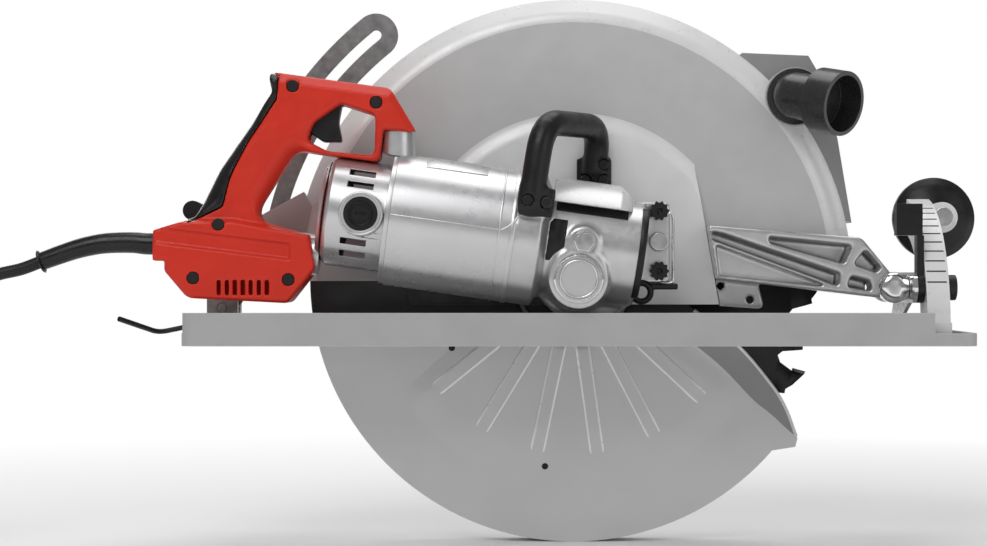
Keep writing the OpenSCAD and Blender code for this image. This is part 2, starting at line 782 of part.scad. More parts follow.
module rear_carrier() {
    low = bevel_z - foot_t - gap;
    color("darkgray") difference() {
        at_bevel() x_slab(link_x - carrier_half, link_x + carrier_half) {
            circle(r = low);
            polygon([[-carrier_w, carrier_h], [-carrier_w, carrier_w - 2 * carrier_low], [-carrier_low,
                -carrier_low],
                [carrier_low, -carrier_low], [carrier_w, carrier_w - 2 * carrier_low], [carrier_w,
                    carrier_h]]);
        }
        at_bevel() x_cyl(link_x - carrier_half - over, link_x + carrier_half + over, pivot_pin_d / 2 + fit);
        translate([link_x, 0, link_z]) {
            y_cyl(blade_y - carrier_w - over, blade_y + carrier_w + over, link_pin_d / 2 + fit);
            y_cyl(blade_y - link_t / 2 - gap, blade_y + link_t / 2 + gap, link_eye_r + gap);
            span_box([-carrier_half - over, carrier_half + over],
                [blade_y - link_t / 2 - gap, blade_y + link_t / 2 + gap], [-link_eye_r / 2, carrier_h]);
        }
    }
}
// The slot follows the clamp bolt as the head swings and the link leans by its share of the swing
function bolt_at(a) = [pivot_x, pivot_z] + spun([bolt_x - pivot_x, bolt_z - pivot_z], -a);
function slot_at(a) = [link_x, link_z] + spun(bolt_at(a) - [link_x, link_z], -link_ratio * a);
function slot_points() = [for (i = [0:link_steps]) slot_at(depth_range * i / link_steps)];
function beside(p, w) =
    [for (i = [0:len(p) - 1])
        let (d = unit(p[min(i + 1, len(p) - 1)] - p[max(i - 1, 0)])) p[i] + w * [-d[1], d[0]]];
function round_end(c, d, w) =
    let (from = atan2(d[1], d[0])) [for (i = [1:link_steps - 1]) c + polar(w,
        from + 90 - 180 * i / link_steps)];
function strip(p, w, foot, foot_r) =
    let (n = len(p) - 1, down = norm(foot - p[0]) > 0 ? foot - p[0] : p[0] - p[1])
    concat(beside(p, w), round_end(p[n], p[n] - p[n - 1], w), [for (i = [n:-1:0]) beside(p, -w)[i]],
        round_end(foot, down, foot_r));
module depth_link() {
    p = slot_points();
    slot_w = bolt_d / 2 + slot_play;
    eye = [link_x, link_z];
    color("gray") y_slab(blade_y - link_t / 2, blade_y + link_t / 2) difference() {
        polygon(strip(p, link_w / 2, eye, link_eye_r));
        polygon(strip(p, slot_w, p[0], slot_w));
        translate(eye) circle(r = link_pin_d / 2 + fit);
    }
}
module bevel_lever() {
    x0 = plate_x + plate_t + gap;
    color("black") translate([0, clamp_y, clamp_z]) difference() {
        union() {
            x_cyl(x0, x0 + lever_hub_t, clamp_boss_r);
            span_box([x0, x0 + lever_hub_t], [-lever_w / 2, lever_w / 2], [0, lever_h - lever_grip_h]);
            span_box([x0 - lever_lean, x0 - lever_lean + lever_grip_t + gap], [-lever_w / 2, lever_w / 2],
                [lever_h - lever_grip_h, lever_h]);
        }
        x_cyl(x0 - over, x0 + lever_hub_t + over, clamp_d / 2 + fit);
    }
}
module rear_lock_lever() {
    x0 = foot_x0 - gap - rod_hub_t;
    root = [x0 + rod_hub_t / 2, rod_d / 2 - rod_hub_r, 0];
    elbow = [x0 - rod_back, -rod_hub_r, -rod_drop];
    wire = concat([root], bend(root, elbow, elbow + rod_end, rod_bend), [elbow + rod_end]);
    color("black") at_bevel() difference() {
        union() {
            x_cyl(x0, x0 + rod_hub_t, rod_hub_r);
            tube(wire, [for (p = wire) rod_d / 2], rod_sides);
        }
        x_cyl(x0 - over, x0 + rod_hub_t + over, pivot_pin_d / 2 + fit);
    }
}

// Guards
module guard_keep(low) {
    translate([-2 * upper_r, -low]) square([4 * upper_r, 2 * upper_r]);
}
module upper_guard() {
    chute = scaled(chute_shares, [upper_r, upper_r]);
    nozzle = [nozzle_share[0] * upper_r, 0, nozzle_share[1] * upper_r];
    color("gainsboro") at_arbor() difference() {
        union() {
            intersection() {
                y_turned() polygon([[0, wall_y], [upper_r - band_w, wall_y], [upper_r,
                    wall_y + band_w * band_slope_share],
                    [upper_r, cover_y], [0, cover_y]]);
                y_slab(wall_y - over, cover_y + over) guard_keep(guard_cut);
            }
            y_slab(wall_y + chute_near, cover_y) polygon(chute);
            translate(nozzle) y_cyl(wall_y + chute_near - nozzle_boss, cover_y - guard_wall, nozzle_boss_r);
            intersection() {
                y_turned() polygon([[0, plateau_y], [plateau_r, plateau_y], [plateau_r + plateau_slope,
                    wall_y],
                    [plateau_r + plateau_slope, wall_in_y], [0, wall_in_y]]);
                y_slab(plateau_y - over, cover_y) guard_keep(plateau_low);
                y_slab(plateau_y - over, cover_y) polygon(scaled(flank_shares, [upper_r, upper_r]));
            }
            y_slab(blade_y - lug_near, blade_y - lug_far) polygon(scaled(depth_lug_shares, [upper_r,
                upper_r]));
        }
        y_turned() polygon([[boss_r, wall_in_y], [upper_r - band_w - band_thin / 2, wall_in_y],
            [upper_r - guard_wall, wall_y + band_w * band_slope_share + band_thin],
            [upper_r - guard_wall, cover_y - cover_screw_len],
            [lip_r, cover_y - cover_screw_len], [lip_r, cover_y + over],
            [0, cover_y + over], [0, wall_in_y + boss_len], [boss_r, wall_in_y + boss_len]]);
        intersection() {
            y_slab(wall_y + chute_near + chute_wall, cover_y + over) polygon(scaled(chute_in_shares,
                [upper_r, upper_r]));
            y_slab(wall_y, cover_y + over) guard_keep(0);
        }
        translate(nozzle) y_cyl(wall_y, cover_y - guard_wall, nozzle_r);
        y_cyl(plateau_y - over, cover_y, boss_r - boss_wall);
        translate([bolt_x, 0, bolt_up]) y_cyl(wall_y, cover_y, bolt_d / 2 + fit);
        for (a = cover_screws()) translate([a[0], 0, a[1]])
            y_cyl(cover_y - cover_screw_len, cover_y + over, cover_screw_r + fit);
        for (s = carry_far_shares) at_far_screw(s) y_cyl(plateau_y - over,
            plateau_y + carry_reach + gap, carry_screw_r + fit);
    }
}
function cover_screws() =
    [for (i = [0:cover_screw_count - 1])
        polar((lip_r + upper_r) / 2, cover_arc[0] + (cover_arc[1] - cover_arc[0])
            * i / (cover_screw_count - 1))];
module guard_cover() {
    color("gainsboro") at_arbor() difference() {
        union() {
            y_slab(cover_y, cover_y + cover_t) intersection() {
                circle(r = upper_r);
                guard_keep(-cover_cut);
            }
            y_slab(cover_y, cover_y + cover_t) polygon(scaled(chute_shares, [upper_r, upper_r]));
        }
        y_cyl(cover_y - over, cover_y + cover_t + over, upper_r * cover_inner_share);
        for (a = cover_screws()) translate([a[0], 0, a[1]])
            y_cyl(cover_y - over, cover_y + cover_t + over, cover_screw_r + fit);
    }
}
module guard_screws() {
    color("dimgray") at_arbor() for (a = cover_screws()) translate([a[0], 0, a[1]]) {
        y_cyl(cover_y - cover_screw_len + gap, cover_y + cover_t, cover_screw_r);
        y_cyl(cover_y + cover_t, cover_y + cover_t + cover_screw_head, cover_screw_head_r);
    }
}
module lower_keep() {
    far = 2 * lower_r;
    polygon(concat(scaled(front_edge_shares, [lower_r, lower_r]),
        [polar(lower_r, -41), polar(far, -45), polar(far, -135), polar(far, -180), polar(far, rear_edge)]));
}
module lower_face(y0, y1) {
    y_slab(y0, y1) intersection() {
        circle(r = lower_r);
        lower_keep();
    }
    y_slab(y0, y1) polygon(scaled(lip_shares, [lower_r, lower_r]));
}
module lower_guard() {
    hub_y = lower_y - hub_len;
    color("lightgray") at_arbor() difference() {
        union() {
            lower_face(lower_y, lower_y + lower_plate_t);
            difference() {
                lower_face(lower_y, lower_far_y);
                y_cyl(lower_y - over, lower_far_y + over, lower_r - lower_rim_t);
            }
            y_slab(lower_far_y - far_plate_t, lower_far_y) intersection() {
                difference() {
                    circle(r = lower_r);
                    circle(r = lower_r * far_inner_share);
                }
                lower_keep();
            }
            y_cyl(hub_y, lower_y + lower_plate_t, hub_r);
            rotate([0, -lift_angle, 0]) translate([lift_r_share * lower_r, 0, 0])
                y_cyl(lower_far_y - far_plate_t, lower_far_y + lift_len, lift_r);
            rotate([0, -lift_angle, 0]) span_box([lift_r_share * lower_r - lift_r, lower_r - lower_rim_t],
                [lower_far_y - far_plate_t, lower_far_y], [-lift_r, 2 * lift_r]);
            for (i = [0:flute_count - 1])
                rotate([0, -(flute_angles[0] + (flute_angles[1] - flute_angles[0])
                    * i / (flute_count - 1)), 0])
                    y_slab(lower_y - flute_h, lower_y) polygon([
                        [lower_r * flute_r0_share, flute_w0 / 2], [lower_r * flute_r1_share, flute_w1 / 2],
                        [lower_r * flute_r1_share, -flute_w1 / 2], [lower_r * flute_r0_share,
                            -flute_w0 / 2]]);
        }
        y_cyl(hub_y - over, lower_y + lower_plate_t + over, boss_r + fit);
        for (s = drain_shares) translate([s[0] * lower_r, 0, s[1] * lower_r])
            y_cyl(lower_y - over, lower_y + lower_plate_t + over, drain_r);
    }
}
module guard_retainer() {
    y0 = wall_in_y + boss_len;
    color("gray") at_arbor() difference() {
        y_cyl(y0, y0 + retainer_t, retainer_r);
        y_cyl(y0 - over, y0 + retainer_t + over, boss_r - boss_wall);
    }
}
module guard_spring() {
    color("dimgray") at_arbor() difference() {
        y_cyl(wall_in_y, wall_in_y + spring_len, spring_r);
        y_cyl(wall_in_y - over, wall_in_y + spring_len + over, spring_r - spring_w);
    }
}
module front_arm() {
    low = [arm_x0, arbor_z - arm_low];
    size = [arm_len, arm_h];
    color("silver") difference() {
        union() {
            y_slab(eye_near_y, wall_y) polygon(rounded(placed(arm_shares, low, size)));
            at_pivot() y_cyl(eye_near_y, eye_far_y, eye_r);
            y_slab(wall_y - arm_web, wall_y) polygon(rounded(placed(ear_shares, low, size)));
        }
        for (p = pocket_shares) y_slab(eye_near_y - over, wall_y - arm_web) polygon([for (s = p)
            low + [s[0] * arm_len, s[1] * arm_h]]);
        for (s = ear_hole_shares) translate([low[0] + s[0] * arm_len, 0, low[1] + s[1] * arm_h])
            y_cyl(wall_y - arm_web - over, wall_y + over, ear_hole_d / 2);
        at_pivot() {
            y_cyl(eye_near_y - over, wall_y + over, pivot_d / 2 + fit);
            y_cyl(eye_far_y, wall_y + over, norm([plate_back, knuckle_r]) + gap);
            span_box([0, plate_back], [eye_far_y, wall_y + over], [-knuckle_r - gap, knuckle_r + gap]);
        }
        at_arbor() intersection() {
            y_cyl(plateau_y - over, wall_y + over, plateau_r + plateau_slope);
            y_slab(plateau_y - over, wall_y + over) polygon(scaled(flank_shares, [upper_r, upper_r]));
        }
    }
}
module depth_clamp_bolt() {
    y0 = blade_y - lug_near - gap - depth_hub_t;
    y1 = blade_y + link_t / 2 + gap;
    color("dimgray") translate([bolt_x, 0, bolt_z]) {
        y_cyl(y0, y1, bolt_d / 2);
        y_cyl(y1, y1 + bolt_head, bolt_head_r);
    }
}
module depth_lever() {
    y1 = blade_y - lug_near - gap;
    tip = polar(depth_lever_len, depth_lever_dir);
    half = depth_lever_w / 2;
    color("black") translate([bolt_x, 0, bolt_z]) difference() {
        union() {
            y_cyl(y1 - depth_hub_t, y1, depth_hub_r);
            y_slab(y1 - depth_hub_t, y1) {
                rotate(depth_lever_dir) translate([0, -half]) square([depth_lever_len, depth_lever_w]);
                translate(tip) circle(r = half);
            }
        }
        y_cyl(y1 - depth_hub_t - over, y1 + over, bolt_d / 2 + fit);
    }
}
module dust_nozzle() {
    elbow_y = wall_y + chute_near - nozzle_boss - nozzle_seat_t - gap - nozzle_neck;
    elbow = [nozzle_share[0] * upper_r, elbow_y, nozzle_share[1] * upper_r];
    spigot_y = cover_y - guard_wall - elbow_y - nozzle_r / 2;
    color("black") at_arbor() translate(elbow) rotate([0, nozzle_turn, 0]) difference() {
        union() {
            y_cyl(0, spigot_y, nozzle_r - fit);
            y_cyl(nozzle_neck, nozzle_neck + nozzle_seat_t, nozzle_seat_r);
            sphere(r = nozzle_r - fit);
            rotate([0, 0, nozzle_bend - 90]) {
                x_cyl(0, nozzle_reach, nozzle_r - fit);
                x_cyl(nozzle_reach, nozzle_reach + collar_len, collar_r);
            }
        }
        y_cyl(0, spigot_y + over, nozzle_r - nozzle_wall);
        sphere(r = nozzle_r - nozzle_wall);
        rotate([0, 0, nozzle_bend - 90]) {
            x_cyl(0, nozzle_reach + over, nozzle_r - nozzle_wall);
            x_cyl(nozzle_reach + collar_wall, nozzle_reach + collar_len + over, collar_r - collar_wall);
        }
    }
}

// Gear case and what is on it
module gear_case() {
    color("silver") difference() {
        union() {
            at_motor() x_turned() polygon([[0, -motor_front], [motor_r, -motor_front],
                [motor_r, -motor_front + adapter_flat],
                [barrel_r, -motor_front + adapter_flat + adapter_taper],
                [barrel_r, barrel_end - barrel_nose], [barrel_r - barrel_nose, barrel_end],
                [0, barrel_end]]);
            at_arbor() {
                y_cyl(-boss_near_y, 0, boss_near_r);
                translate([neck_up, 0, neck_up]) y_cyl(0, plateau_y, neck_r);
            }
            at_arbor() y_slab(-front_plate_t, 0) polygon(rounded(placed(front_plate_shares, [0, -arm_h],
                [arm_h, arm_h])));
            at_motor() span_box(carry_pad_x, [-seat_y, 0], carry_pad_z);
            at_motor() translate([0, 0, plug_up]) y_cyl(-boss_near_y, 0, plug_seat_r);
        }
        at_motor() {
            x_cyl(-worm_bearing_x - over, barrel_end - nose_bearing_w,
                worm_r + worm_room + gear_module);
            x_cyl(-motor_front - over, -worm_bearing_x, motor_r - motor_wall);
            x_cyl(-worm_bearing_x - over, -worm_bearing_x + front_bearing_w, front_bearing_r + fit);
            x_cyl(barrel_end - 2 * nose_bearing_w, barrel_end - nose_bearing_w, nose_bearing_r + fit);
            translate([0, 0, plug_up]) y_cyl(-boss_near_y - over, -worm_r, plug_r / 2 + fit);
            for (s = carry_near_shares) at_near_screw(s) y_cyl(-seat_y - over,
                -seat_y + carry_reach + gap, carry_screw_r + fit);
        }
        at_arbor() {
            y_cyl(-wheel_w / 2 - wheel_room, wheel_w / 2 + wheel_room, wheel_r + gear_module + wheel_room);
            y_cyl(-boss_near_y - over, -wheel_w / 2, near_bearing_r + fit);
            y_cyl(0, plateau_y + over, arbor_d / 2 + wheel_room);
            y_cyl(plateau_y - far_bearing_w, plateau_y + over, far_bearing_r + fit);
        }
        at_thumb() y_cyl(-front_plate_t - over, over, thumb_stem_r + fit);
        at_lock() y_cyl(-front_plate_t - over, over, lock_r + fit);
    }
}
module at_thumb() { for (s = thumb_shares) at_arbor() translate([s[0] * arm_h, 0, (s[1] - 1) * arm_h])
    children(); }
module at_lock() { at_arbor() translate([lock_share[0] * arm_h, 0, (lock_share[1] - 1) * arm_h]) children(); }
module gear_fairing() {
    color("white") at_motor() difference() {
        intersection() {
            x_turned() polygon([[0, fairing_from], [fairing_r, fairing_from], [fairing_r, fairing_nose[0]],
                [fairing_mid_r, fairing_nose[1]], [barrel_r + over, fairing_nose[2]], [0, fairing_nose[2]]]);
            span_box([fairing_from - over, barrel_end], [-motor_r, motor_r], [fairing_up, motor_r]);
        }
        x_cyl(fairing_from - over, barrel_end, barrel_r + fit);
    }
}
module oil_cap() {
    y0 = -boss_near_y - cap_t;
    color("silver") at_arbor() {
        y_turned() polygon([[0, y0 + cap_recess], [cap_r - cap_rim, y0 + cap_recess], [cap_r - cap_rim, y0],
            [cap_r - cap_recess, y0], [cap_r, y0 + cap_recess], [cap_r, -boss_near_y], [0, -boss_near_y]]);
        y_cyl(-boss_near_y, -boss_near_y + gap, near_bearing_r);
    }
}
module oil_plug() {
    y0 = -boss_near_y;
    color("gray") at_motor() translate([0, 0, plug_up]) {
        y_cyl(y0 - plug_t, y0, plug_r);
        translate([0, y0 - plug_t - plug_hex_h, 0]) rotate([-90, 0, 0])
            cylinder(h = plug_hex_h, r = plug_hex_r, $fn = 6);
        y_cyl(y0, -worm_r - worm_room - gear_module - gap, plug_r / 2);
    }
}
module thumbscrews() {
    y0 = -front_plate_t;
    color("black") at_thumb() {
        y_slab(y0 - thumb_h, y0) {
            circle(r = thumb_r * thumb_core_share);
            for (i = [0:thumb_lobes - 1])
                rotate(360 * i / thumb_lobes)
                translate([thumb_r * thumb_core_share, 0]) circle(r = thumb_r * thumb_lobe_share);
        }
        y_cyl(y0, 0, thumb_stem_r);
    }
}
module spindle_lock_pin() {
    y0 = -front_plate_t - lock_travel - gap;
    color("lightgray") at_lock() {
        y_cyl(y0 - lock_head, y0, lock_head_r);
        y_cyl(y0, y0 + lock_len, lock_r);
    }
}

// Motor
module motor_post() {
    x = -post_back * cos(motor_tilt);
    top = handle_z + post_top_share * handle_h;
    translate([x, 0, arbor_z]) cylinder(h = top - arbor_z, r = post_r);
}
module motor_housing() {
    color("silver") difference() {
        union() {
            at_motor() x_cyl(-bell_front, -motor_front, motor_r);
            difference() {
                intersection() {
                    motor_post();
                    handle_above();
                }
                at_motor() x_cyl(-bell_end, -motor_front, motor_r - post_sink);
            }
            at_motor() span_box([-motor_front - pad_back - pad_len, -motor_front - pad_back],
                [0, plateau_y], [-pad_h / 2, pad_h / 2]);
        }
        at_motor() x_cyl(-bell_front - over, -motor_front + over, motor_r - motor_wall);
    }
}
// Everything over the motor's axis and under the nose of the handle
module handle_above() {
    y_slab(-post_r - over, post_r + over) difference() {
        translate([-bell_end, arbor_z + worm_cd]) square([bell_end, handle_h]);
        polygon(rounded(handle_points(handle_shares)));
    }
}
module end_bell() {
    in_r = motor_r - motor_wall - bell_step;
    brush_x = -bell_front - brush_back;
    color("silver") at_motor() difference() {
        union() {
            difference() {
                x_turned() polygon([[0, -bell_end], [motor_r - bell_step - bell_round, -bell_end],
                    [motor_r - bell_step, -bell_end + bell_round],
                    [motor_r - bell_step, -bell_front - bell_flange],
                    [motor_r - bell_rim, -bell_front - bell_flange],
                    [motor_r - bell_rim, -bell_front], [0, -bell_front]]);
                x_cyl(-bell_end + motor_wall, -bell_front + over, in_r);
            }
            x_cyl(-bell_end, -bell_end + motor_wall + rear_bearing_w + rear_boss_over,
                rear_bearing_r + motor_wall);
            translate([brush_x, 0, 0]) for (s = [-1, 1]) sided(s) {
                y_cyl(in_r - brush_boss_in, motor_r + brush_boss_out, brush_boss_r);
                y_cyl(comm_r + brush_tube_gap, in_r, brush_tube_r);
            }
            translate([0, 0, -tail_down]) x_cyl(-bell_end - tail_back, -bell_end + motor_wall, tail_r);
        }
        x_cyl(-bell_end + motor_wall, -bell_front, rear_bearing_r + fit);
        translate([brush_x, 0, 0]) for (s = [-1, 1]) sided(s) {
            y_cyl(comm_r, motor_r + brush_boss_out + over, brush_r + fit);
            y_cyl(motor_r + brush_boss_out - brush_cap_t, motor_r + brush_boss_out + over, brush_cap_r + fit);
        }
        for (s = [-1, 1], k = [-1, 1], i = [0:vent_rows - 1])
            translate([-bell_front - vent_back - vent_len / 2, 0, k * (vent_up + i * vent_step)])
                translate([0, s > 0 ? 0 : -motor_r - over, -vent_h / 2]) cube([vent_len, motor_r + over,
                    vent_h]);
    }
}
module brush_caps() {
    top = motor_r + brush_boss_out;
    color("black") at_motor() translate([-bell_front - brush_back, 0, 0]) for (s = [-1, 1]) sided(s)
        difference() {
        y_cyl(top - brush_cap_t, top - gap, brush_cap_r);
        y_cyl(top - gap - cap_dish, top + over, brush_cap_r * cap_dish_share);
        span_box([-brush_slot_w / 2, brush_slot_w / 2], [top - gap - 2 * cap_dish, top + over],
            [-brush_slot_t / 2, brush_slot_t / 2]);
    }
}
module brushes() {
    color("dimgray") at_motor() translate([-bell_front - brush_back, 0, 0]) for (s = [-1, 1]) sided(s)
        y_cyl(comm_r + gap, motor_r + brush_boss_out - brush_cap_t, brush_r);
}
module field_stator() {
    x0 = -motor_front - core_front - core_len - stator_over;
    color("saddlebrown") at_motor() difference() {
        x_cyl(x0, x0 + core_len + 2 * stator_over, motor_r - motor_wall);
        x_cyl(x0 - over, x0 + core_len + 2 * stator_over + over, core_r + core_gap);
    }
}
module bearing(w, r_out, r_in) {
    difference() {
        cylinder(h = w, r = r_out);
        translate([0, 0, -over]) cylinder(h = w + 2 * over, r = r_in + fit);
    }
}
module motor_bearings() {
    color("lightgray") at_motor() rotate([0, 90, 0]) {
        translate([0, 0, -bell_end + motor_wall]) bearing(rear_bearing_w, rear_bearing_r, rear_journal_r);
        translate([0, 0, -worm_bearing_x]) bearing(front_bearing_w, front_bearing_r, motor_shaft_d / 2);
        translate([0, 0, barrel_end - 2 * nose_bearing_w]) bearing(nose_bearing_w, nose_bearing_r,
            nose_journal_r);
    }
}
module arbor_bearings() {
    color("lightgray") at_arbor() rotate([-90, 0, 0]) {
        translate([0, 0, -boss_near_y + gap]) bearing(near_bearing_w, near_bearing_r, near_journal_r);
        translate([0, 0, plateau_y - far_bearing_w]) bearing(far_bearing_w, far_bearing_r, arbor_d / 2);
    }
}

// Rear handle
module handle_outline() { polygon(rounded(handle_points(handle_shares))); }
module pad_cut() { polygon(rounded(handle_points(pad_shares))); }
module box_clip() { polygon(scaled_handle(box_shares)); }
function scaled_handle(shares) = [for (s = shares) [handle_x + s[0] * handle_len, handle_z + s[1]
    * handle_h]];
module trigger_outline() { polygon(rounded(handle_points(trigger_shares))); }
function screw_face(i) = i < grip_screws ? grip_w / 2 : box_w / 2;
module at_screw(i) {
    p = scaled_handle([screw_shares[i]])[0];
    translate([p[0], 0, p[1]]) children();
}
module handle_shell(side) {
    room = trigger_w / 2 + trigger_room;
    color("orangered") sided(side) difference() {
        union() {
            y_slab(0, grip_w / 2) difference() {
                handle_outline();
                pad_cut();
                polygon(rounded(handle_points(trigger_gap_shares)));
            }
            y_slab(0, box_w / 2) intersection() {
                difference() {
                    handle_outline();
                    pad_cut();
                }
                box_clip();
            }
        }
        y_slab(-over, room) polygon(scaled_handle(trigger_room_shares));
        y_slab(-over, switch_w / 2 + fit) polygon(scaled_handle(switch_shares));
        at_motor() translate([0, 0, -tail_down]) x_cyl(-bell_end - tail_back - gap, 0, tail_r + fit);
        at_motor() x_cyl(-bell_end - gap, 0, motor_r - bell_step + fit);
        at_motor() x_cyl(-bell_front - bell_flange - gap, 0, motor_r + fit);
        motor_post();
        for (i = [0:len(screw_shares) - 1]) at_screw(i) {
            y_cyl(-over, screw_reach + gap, screw_r + fit);
            if (side < 0) {
                y_cyl(0, screw_face(i) + over, screw_r + fit);
                y_cyl(screw_face(i) - screw_sink, screw_face(i) + over, screw_head_r + fit);
            }
        }
        for (i = [0:vent_slot_count - 1])
            translate([handle_x + vent_slot_share[0] * handle_len + i * vent_slot_step,
                box_w / 2 - vent_slot_depth,
                handle_z + vent_slot_share[1] * handle_h]) cube([vent_slot_w, vent_slot_depth + over,
                    vent_slot_h]);
    }
}
module handle_near() { handle_shell(-1); }
module handle_far() { handle_shell(1); }
module grip_pad() {
    half = grip_w / 2 + pad_proud;
    color("black") y_slab(-half, half) intersection() {
        handle_outline();
        pad_cut();
    }
}
module handle_screws() {
    color("black") for (i = [0:len(screw_shares) - 1]) at_screw(i) {
        y_cyl(-screw_face(i) + screw_sink - screw_head, -screw_face(i) + screw_sink, screw_head_r);
        y_cyl(-screw_face(i) + screw_sink, screw_reach, screw_r);
    }
}
module switch_module() {
    color("dimgray") y_slab(-switch_w / 2, switch_w / 2) polygon(scaled_handle(switch_shares));
}
module trigger() { color("black") y_slab(-trigger_w / 2, trigger_w / 2) trigger_outline(); }

// Carry handle
function between(range, share) = range[0] + (range[1] - range[0]) * share;
module at_near_screw(s) { translate([between(carry_pad_x, s[0]), 0, between(carry_pad_z, s[1])]) children(); }
module at_far_screw(s) {
    translate([between(carry_far_x, s[0]), 0, between(carry_far_z, s[1]) - arbor_z]) children();
}
module carry_handle() {
    r = carry_d / 2;
    bar = concat([carry_near], bend(carry_near, carry_near_top, carry_far_top, carry_bend),
        bend(carry_near_top, carry_far_top, carry_far, carry_bend), [carry_far]);
    color("black") difference() {
        union() {
            at_motor() span_box(carry_pad_x, [-seat_y - carry_pad_t, -seat_y], carry_pad_z);
            span_box(carry_far_x, [plateau_y - carry_pad_t, plateau_y], carry_far_z);
            tube(bar, [for (p = bar) r], carry_sides);
        }
        at_motor() {
            span_box(carry_pad_x + [-carry_d, carry_d], [-seat_y, 0], [0, carry_pad_z[1] + gap]);
            for (s = carry_near_shares) at_near_screw(s) {
                y_cyl(-seat_y - carry_pad_t - over, -seat_y + over, carry_screw_r + fit);
                y_cyl(-seat_y - 3 * carry_pad_t, -seat_y - carry_pad_t, carry_head_r + gap);
            }
        }
        at_arbor() {
            span_box(carry_far_x - [carry_d, -carry_d], [plateau_y, plateau_y + carry_d],
                carry_far_z - [arbor_z + carry_d, arbor_z - carry_d]);
            for (s = carry_far_shares) at_far_screw(s) {
                y_cyl(plateau_y - carry_pad_t - over, plateau_y + over, carry_screw_r + fit);
                y_cyl(plateau_y - 3 * carry_pad_t, plateau_y - carry_pad_t, carry_head_r + gap);
            }
        }
    }
}
module carry_screws() {
    color("dimgray") {
        at_motor() for (s = carry_near_shares) at_near_screw(s) {
            y_cyl(-seat_y - carry_pad_t - carry_head, -seat_y - carry_pad_t, carry_head_r);
            y_cyl(-seat_y - carry_pad_t, -seat_y + carry_reach, carry_screw_r);
        }
        at_arbor() for (s = carry_far_shares) at_far_screw(s) {
            y_cyl(plateau_y - carry_pad_t - carry_head, plateau_y - carry_pad_t, carry_head_r);
            y_cyl(plateau_y - carry_pad_t, plateau_y + carry_reach, carry_screw_r);
        }
    }
}

// Blade and arbor
tooth_pitch = 360 / blade_teeth;
blade_r = blade_d / 2;
module blade() {
    pts = [for (i = [0:blade_teeth - 1]) for (s = tooth_shares)
        polar(blade_r - s[0] * gullet_depth, -tooth_pitch * i + s[1] * tooth_pitch)];
    color("dimgray") at_arbor() y_slab(blade_y - blade_t / 2, blade_y + blade_t / 2) difference() {
        polygon(pts);
        circle(r = blade_bore / 2);
    }
}
module blade_tips() {
    root = [blade_r - tooth_shares[8][0] * gullet_depth, (tooth_shares[8][1] + 1) * tooth_pitch];
    ahead = atan(tip_w / blade_r);
    seat = polar(root[0], root[1]);
    tip = polar(blade_r, 0);
    color("silver") at_arbor() for (i = [0:blade_teeth - 1]) y_slab(blade_y - tip_t / 2, blade_y + tip_t / 2)
        rotate(tooth_pitch * i) polygon([seat, tip, spun(tip, ahead), spun(seat, ahead)]);
}
module arbor_shaft() {
    r = arbor_d / 2;
    seat_r = blade_bore / 2 - fit;
    y1 = flange_out_y + flange_out_t / 2;
    color("lightgray") at_arbor() difference() {
        union() {
            y_cyl(-boss_near_y + 2 * gap, -boss_near_y + gap + near_bearing_w + over, near_journal_r);
            y_cyl(-boss_near_y + gap + near_bearing_w + over, flange_in_y - seat_run, r);
            y_cyl(flange_in_y - seat_run, y1, seat_r);
        }
        y_cyl(y1 - bolt_shank_len, y1 + over, bolt_shank_r + fit);
    }
}
module worm_wheel() {
    half = gear_module * PI / 4 - backlash / 2;
    add = gear_module * tip_share;
    ded = gear_module * root_share;
    grow = tan(flank);
    angle = 180 / PI;
    twist = wheel_w * tan(lead_angle) / wheel_r * angle;
    pts = [for (i = [0:wheel_teeth - 1]) let (a = -90 + 360 * i / wheel_teeth)
        for (s = [[-ded, -1], [0, -1], [add, -1], [add, 1], [0, 1], [-ded, 1]])
            polar(wheel_r + s[0], a + s[1] * (half - s[0] * grow) / (wheel_r + s[0]) * angle)];
    color("goldenrod") at_arbor() rotate([0, motor_tilt, 0]) difference() {
        rotate([-90, 0, 0]) linear_extrude(wheel_w, center = true, twist = -twist, slices = wheel_slices,
            $fn = gear_sides)
            rotate(-twist / 2) polygon(pts);
        y_cyl(-wheel_w, wheel_w, arbor_d / 2 + fit);
    }
}
module inner_flange() {
    color("gray") at_arbor() difference() {
        y_cyl(flange_in_y, flange_in_y + inner_flange_t, flange_r);
        y_cyl(flange_in_y - over, flange_in_y + inner_flange_t + over, blade_bore / 2);
    }
}
module outer_flange() {
    color("gray") at_arbor() difference() {
        y_turned() polygon([[0, flange_out_y], [flange_r, flange_out_y], [flange_r,
            flange_out_y + flange_out_t / 2],
            [flange_r - flange_out_t / 2, flange_out_y + flange_out_t], [0,
                flange_out_y + flange_out_t]]);
        y_cyl(flange_out_y - over, flange_out_y + flange_out_t / 2 + fit, blade_bore / 2);
        y_cyl(flange_out_y - over, flange_out_y + flange_out_t + over, bolt_shank_r + fit);
    }
}
module blade_bolt() {
    y0 = flange_out_y + flange_out_t;
    color("dimgray") at_arbor() {
        translate([0, y0, 0]) rotate([-90, 0, 0]) cylinder(h = bolt_hex_h, r = bolt_hex_r, $fn = 6);
        y_cyl(flange_out_y + flange_out_t / 2 - bolt_shank_len + gap, y0, bolt_shank_r);
    }
}

